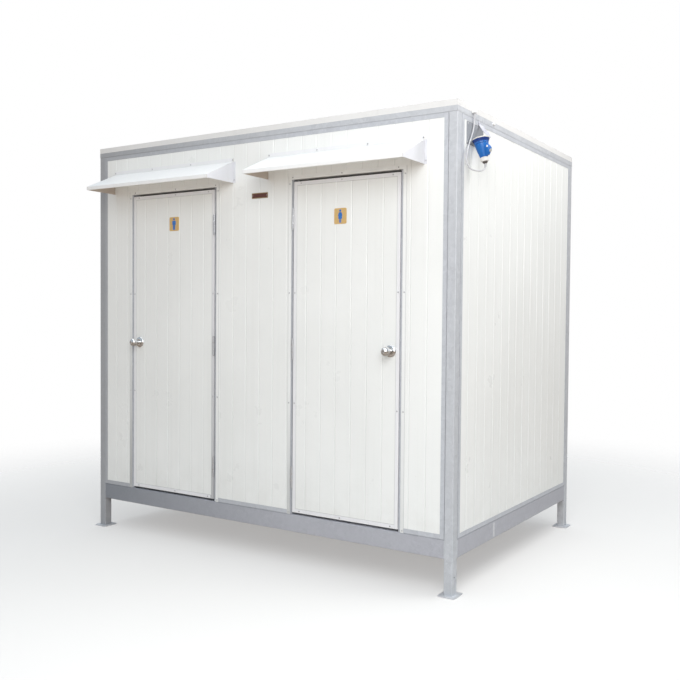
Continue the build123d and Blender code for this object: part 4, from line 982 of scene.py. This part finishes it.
beads = []
k = 0
for sx in (-1, 1):
    for y0, d in ((YF, 1), (YB, -1)):
        xo, xi = sx * HW, sx * (HW - 0.050)
        yo, yi = y0, y0 + d * 0.050
        z = 0.0066
        ins = 0.004
        for a, b, n in (((xo - sx * ins, yo, z), (xi + sx * ins, yo, z), (0, -d, 0.6)), ((xo - sx * ins, yi, z), (xi + sx * ins, yi, z), (0, d, 0.6)),
                        ((xo, yo + d * ins, z), (xo, yi - d * ins, z), (sx, 0, 0.6)), ((xi, yo + d * ins, z), (xi, yi - d * ins, z), (-sx, 0, 0.6))):
            beads.append(bead(a, b, 0.0032, Vector(n).normalized(), k * 0.7))
            k += 1
        for z0, z1 in ((0.192, 0.288),):
            beads.append(bead((xi, yo, z0), (xi, yo, z1), 0.0026, Vector((0, -d, 0)), k * 0.9))
            beads.append(bead((xo, yi, z0), (xo, yi, z1), 0.0026, Vector((sx, 0, 0)), k * 1.1))
            k += 1
        beads.append(bead((xi, yo + d * 0.003, 0.190), (xi, yi - d * 0.003, 0.190), 0.0026, Vector((0, 0, -1)), k))
        beads.append(bead((xo - sx * 0.003, yi, 0.190), (xi + sx * 0.003, yi, 0.190), 0.0026, Vector((0, 0, -1)), k + 1))
        k += 1
add("frame_weld_beads", *merge(*beads), GALV, "cabin", "galvanised_steel", 60)

# ------------------------------------------------------------------ door seals on the rebate stops
def seal_strip(a, b, wide_dir, face_dir):
    """A D-shaped rubber strip from a to b, lying on a face that looks along face_dir, 8 mm per unit of wide_dir."""
    a, b, w, f = Vector(a), Vector(b), Vector(wide_dir), Vector(face_dir)
    sec = [(-0.0040, 0.0), (-0.0040, 0.0006), (-0.0030, 0.0014), (-0.0014, 0.0017), (0.0014, 0.0017), (0.0030, 0.0014), (0.0040, 0.0006), (0.0040, 0.0)]
    verts = [p + w * u + f * h for p in (a, b) for u, h in sec]
    n = len(sec)
    faces = [(j, (j + 1) % n, n + (j + 1) % n, n + j) for j in range(n)]
    return verts, faces + [tuple(range(n)), tuple(n + j for j in range(n))]


strips = []
for side, s in SIDES:
    y = YF + 0.042
    for x in (0.3075, 1.0175):
        strips.append(seal_strip((s * x, y, 0.292), (s * x, y, 2.176), (1, 0, 0), (0, -1, 0)))
    strips.append(seal_strip((s * 0.3135, y, 2.1892), (s * 1.0115, y, 2.1892), (0, 0, 2.6), (0, -1, 0)))
add("door_seals", *merge(*strips), RUBBER, "cabin", None, 25)

# cable clip on the side's top rail
clip = basis((HW, YF + 0.419, 2.487), (1, 0, 0), (0, 1, 0))
saddle = rounded([(-0.011, -0.006), (0.011, -0.006), (0.011, 0.006), (-0.011, 0.006)], 0.003, 4)
add("cord_clip", *merge(plate(clip, [tuple(p) for p in saddle], 0.006, 0.0015)), WHITE, "cabin", "white_plastic")

# ------------------------------------------------------------------ water in the bowls
for side, s in SIDES:
    pts = [(0.062 * math.cos(2 * math.pi * i / 48), 0.077 * math.sin(2 * math.pi * i / 48)) for i in range(48)]
    rows_ = []
    for q, dz in ((1.0, 0.0008), (0.97, 0.0002), (0.5, 0.0), (0.12, 0.0)):
        rows_.append([Vector((s * 0.662 + x * q, 0.433 + y_ * q, 0.505 + dz)) for x, y_ in pts])
    verts = [v for r in rows_ for v in r]
    faces = [(i * 48 + j, i * 48 + (j + 1) % 48, (i + 1) * 48 + (j + 1) % 48, (i + 1) * 48 + j) for i in range(3) for j in range(48)]
    faces.append(tuple(3 * 48 + j for j in range(48)))
    w = Mat(f"bowl_water_{side}", 0.03, IOR=1.33)
    w.color(w.ramp(w.noise(40, 3), (0.3, (0.55, 0.60, 0.60)), (0.7, (0.62, 0.66, 0.66))))
    w.normal(w.bump(w.noise(60, 2), 0.05, 0.001))
    add(f"bowl_water_{side}", verts, faces, w.m, "cabin", None)


# ------------------------------------------------------------------ softened edges on the frame's own pieces
def soften(names, width, seg=2, angle=35.0):
    for n in names:
        ob = nodes[n]
        wl = ob.modifiers.new("weld", "WELD")
        wl.merge_threshold = 0.00002
        bv = ob.modifiers.new("edge", "BEVEL")
        bv.width = width
        bv.segments = seg
        bv.limit_method = "ANGLE"
        bv.angle_limit = math.radians(angle)
        bv.miter_outer = "MITER_ARC"
        wn = ob.modifiers.new("shade", "WEIGHTED_NORMAL")
        wn.keep_sharp = False
        wn.weight = 100


soften(["wall_tracks"], 0.0008)
soften(["base_plates", "inlet_bracket"], 0.0012)
soften(["door_jambs"], 0.0015)
soften(["sign_plate_left", "sign_plate_right", "name_plate"], 0.0006)

# ------------------------------------------------------------------ stage
me = bpy.data.meshes.new("floor")
R, rings, seg = 9.0, 24, 96
fv, ff = [(0.0, 0.1, 0.0)], []
for i in range(1, rings + 1):
    r = R * (i / rings) ** 1.5
    fv += [(r * math.cos(2 * math.pi * j / seg), 0.1 + r * math.sin(2 * math.pi * j / seg), 0.0) for j in range(seg)]
ff += [(0, 1 + j, 1 + (j + 1) % seg) for j in range(seg)]
for i in range(rings - 1):
    a, b = 1 + i * seg, 1 + (i + 1) * seg
    ff += [(a + j, b + j, b + (j + 1) % seg, a + (j + 1) % seg) for j in range(seg)]
me.from_pydata(fv, [], ff)
floor = bpy.data.objects.new("floor", me)
fm = Mat("floor_pale", 0.85)
fm.color(fm.ramp(fm.noise(0.5, 2), (0.3, (0.835, 0.815, 0.785)), (0.7, (0.855, 0.835, 0.805))))
fx, fy = fm.axis(0), fm.axis(1)
dist = fm.maths("SQRT", fm.plus(fm.times(fx, fx), fm.times(fy, fy)))
fm.link(fm.remap(dist, 1.8, 5.2, 0.62, 0.0, True), fm.b.inputs["Alpha"])
me.materials.append(fm.m)
scene.collection.objects.link(floor)

world = bpy.data.worlds.new("studio")
world.use_nodes = True
wt = world.node_tree
bg = wt.nodes["Background"]
way = wt.nodes.new("ShaderNodeTexCoord")
parts_ = wt.nodes.new("ShaderNodeSeparateXYZ")
level = wt.nodes.new("ShaderNodeMapRange")
level.inputs[1].default_value, level.inputs[2].default_value = -0.15, 0.15
tint = wt.nodes.new("ShaderNodeMix")
tint.data_type = "RGBA"
tint.inputs[6].default_value = (1.16, 0.98, 0.83, 1.0)
tint.inputs[7].default_value = (0.895, 1.0, 1.10, 1.0)
wt.links.new(way.outputs["Generated"], parts_.inputs[0])
wt.links.new(parts_.outputs[2], level.inputs[0])
wt.links.new(level.outputs[0], tint.inputs[0])
wt.links.new(tint.outputs[2], bg.inputs["Color"])
bg.inputs["Strength"].default_value = 0.48
backdrop = wt.nodes.new("ShaderNodeBackground")
backdrop.inputs["Color"].default_value = (1.0, 1.0, 1.0, 1.0)
backdrop.inputs["Strength"].default_value = 1.0
rays = wt.nodes.new("ShaderNodeLightPath")
both = wt.nodes.new("ShaderNodeMixShader")
wt.links.new(rays.outputs["Is Camera Ray"], both.inputs[0])
wt.links.new(bg.outputs[0], both.inputs[1])
wt.links.new(backdrop.outputs[0], both.inputs[2])
wt.links.new(both.outputs[0], wt.nodes["World Output"].inputs["Surface"])
scene.world = world
scene.view_settings.view_transform = "Standard"


def area(name, at, to, size, power, color=(1, 1, 1)):
    data = bpy.data.lights.new(name, "AREA")
    data.shape = "RECTANGLE"
    data.size, data.size_y = size
    data.energy = power
    data.color = color
    ob = bpy.data.objects.new(name, data)
    ob.location = at
    ob.rotation_euler = (Vector(to) - Vector(at)).to_track_quat("-Z", "Y").to_euler()
    scene.collection.objects.link(ob)


area("key_right", (3.0, -3.7, 3.4), (0.8, -0.6, 1.6), (2.6, 2.6), 109, (0.985, 0.996, 1.015))
area("key_low", (3.0, -3.7, 1.6), (0.8, -0.6, 1.4), (2.2, 1.6), 15, (0.985, 0.996, 1.015))
area("side_high", (2.55, 0.1, 4.0), (1.35, 0.1, 1.7), (0.9, 2.4), 51)
area("top_soft", (-0.4, -0.6, 7.5), (-0.2, 0.1, 0.0), (7.0, 7.0), 180)
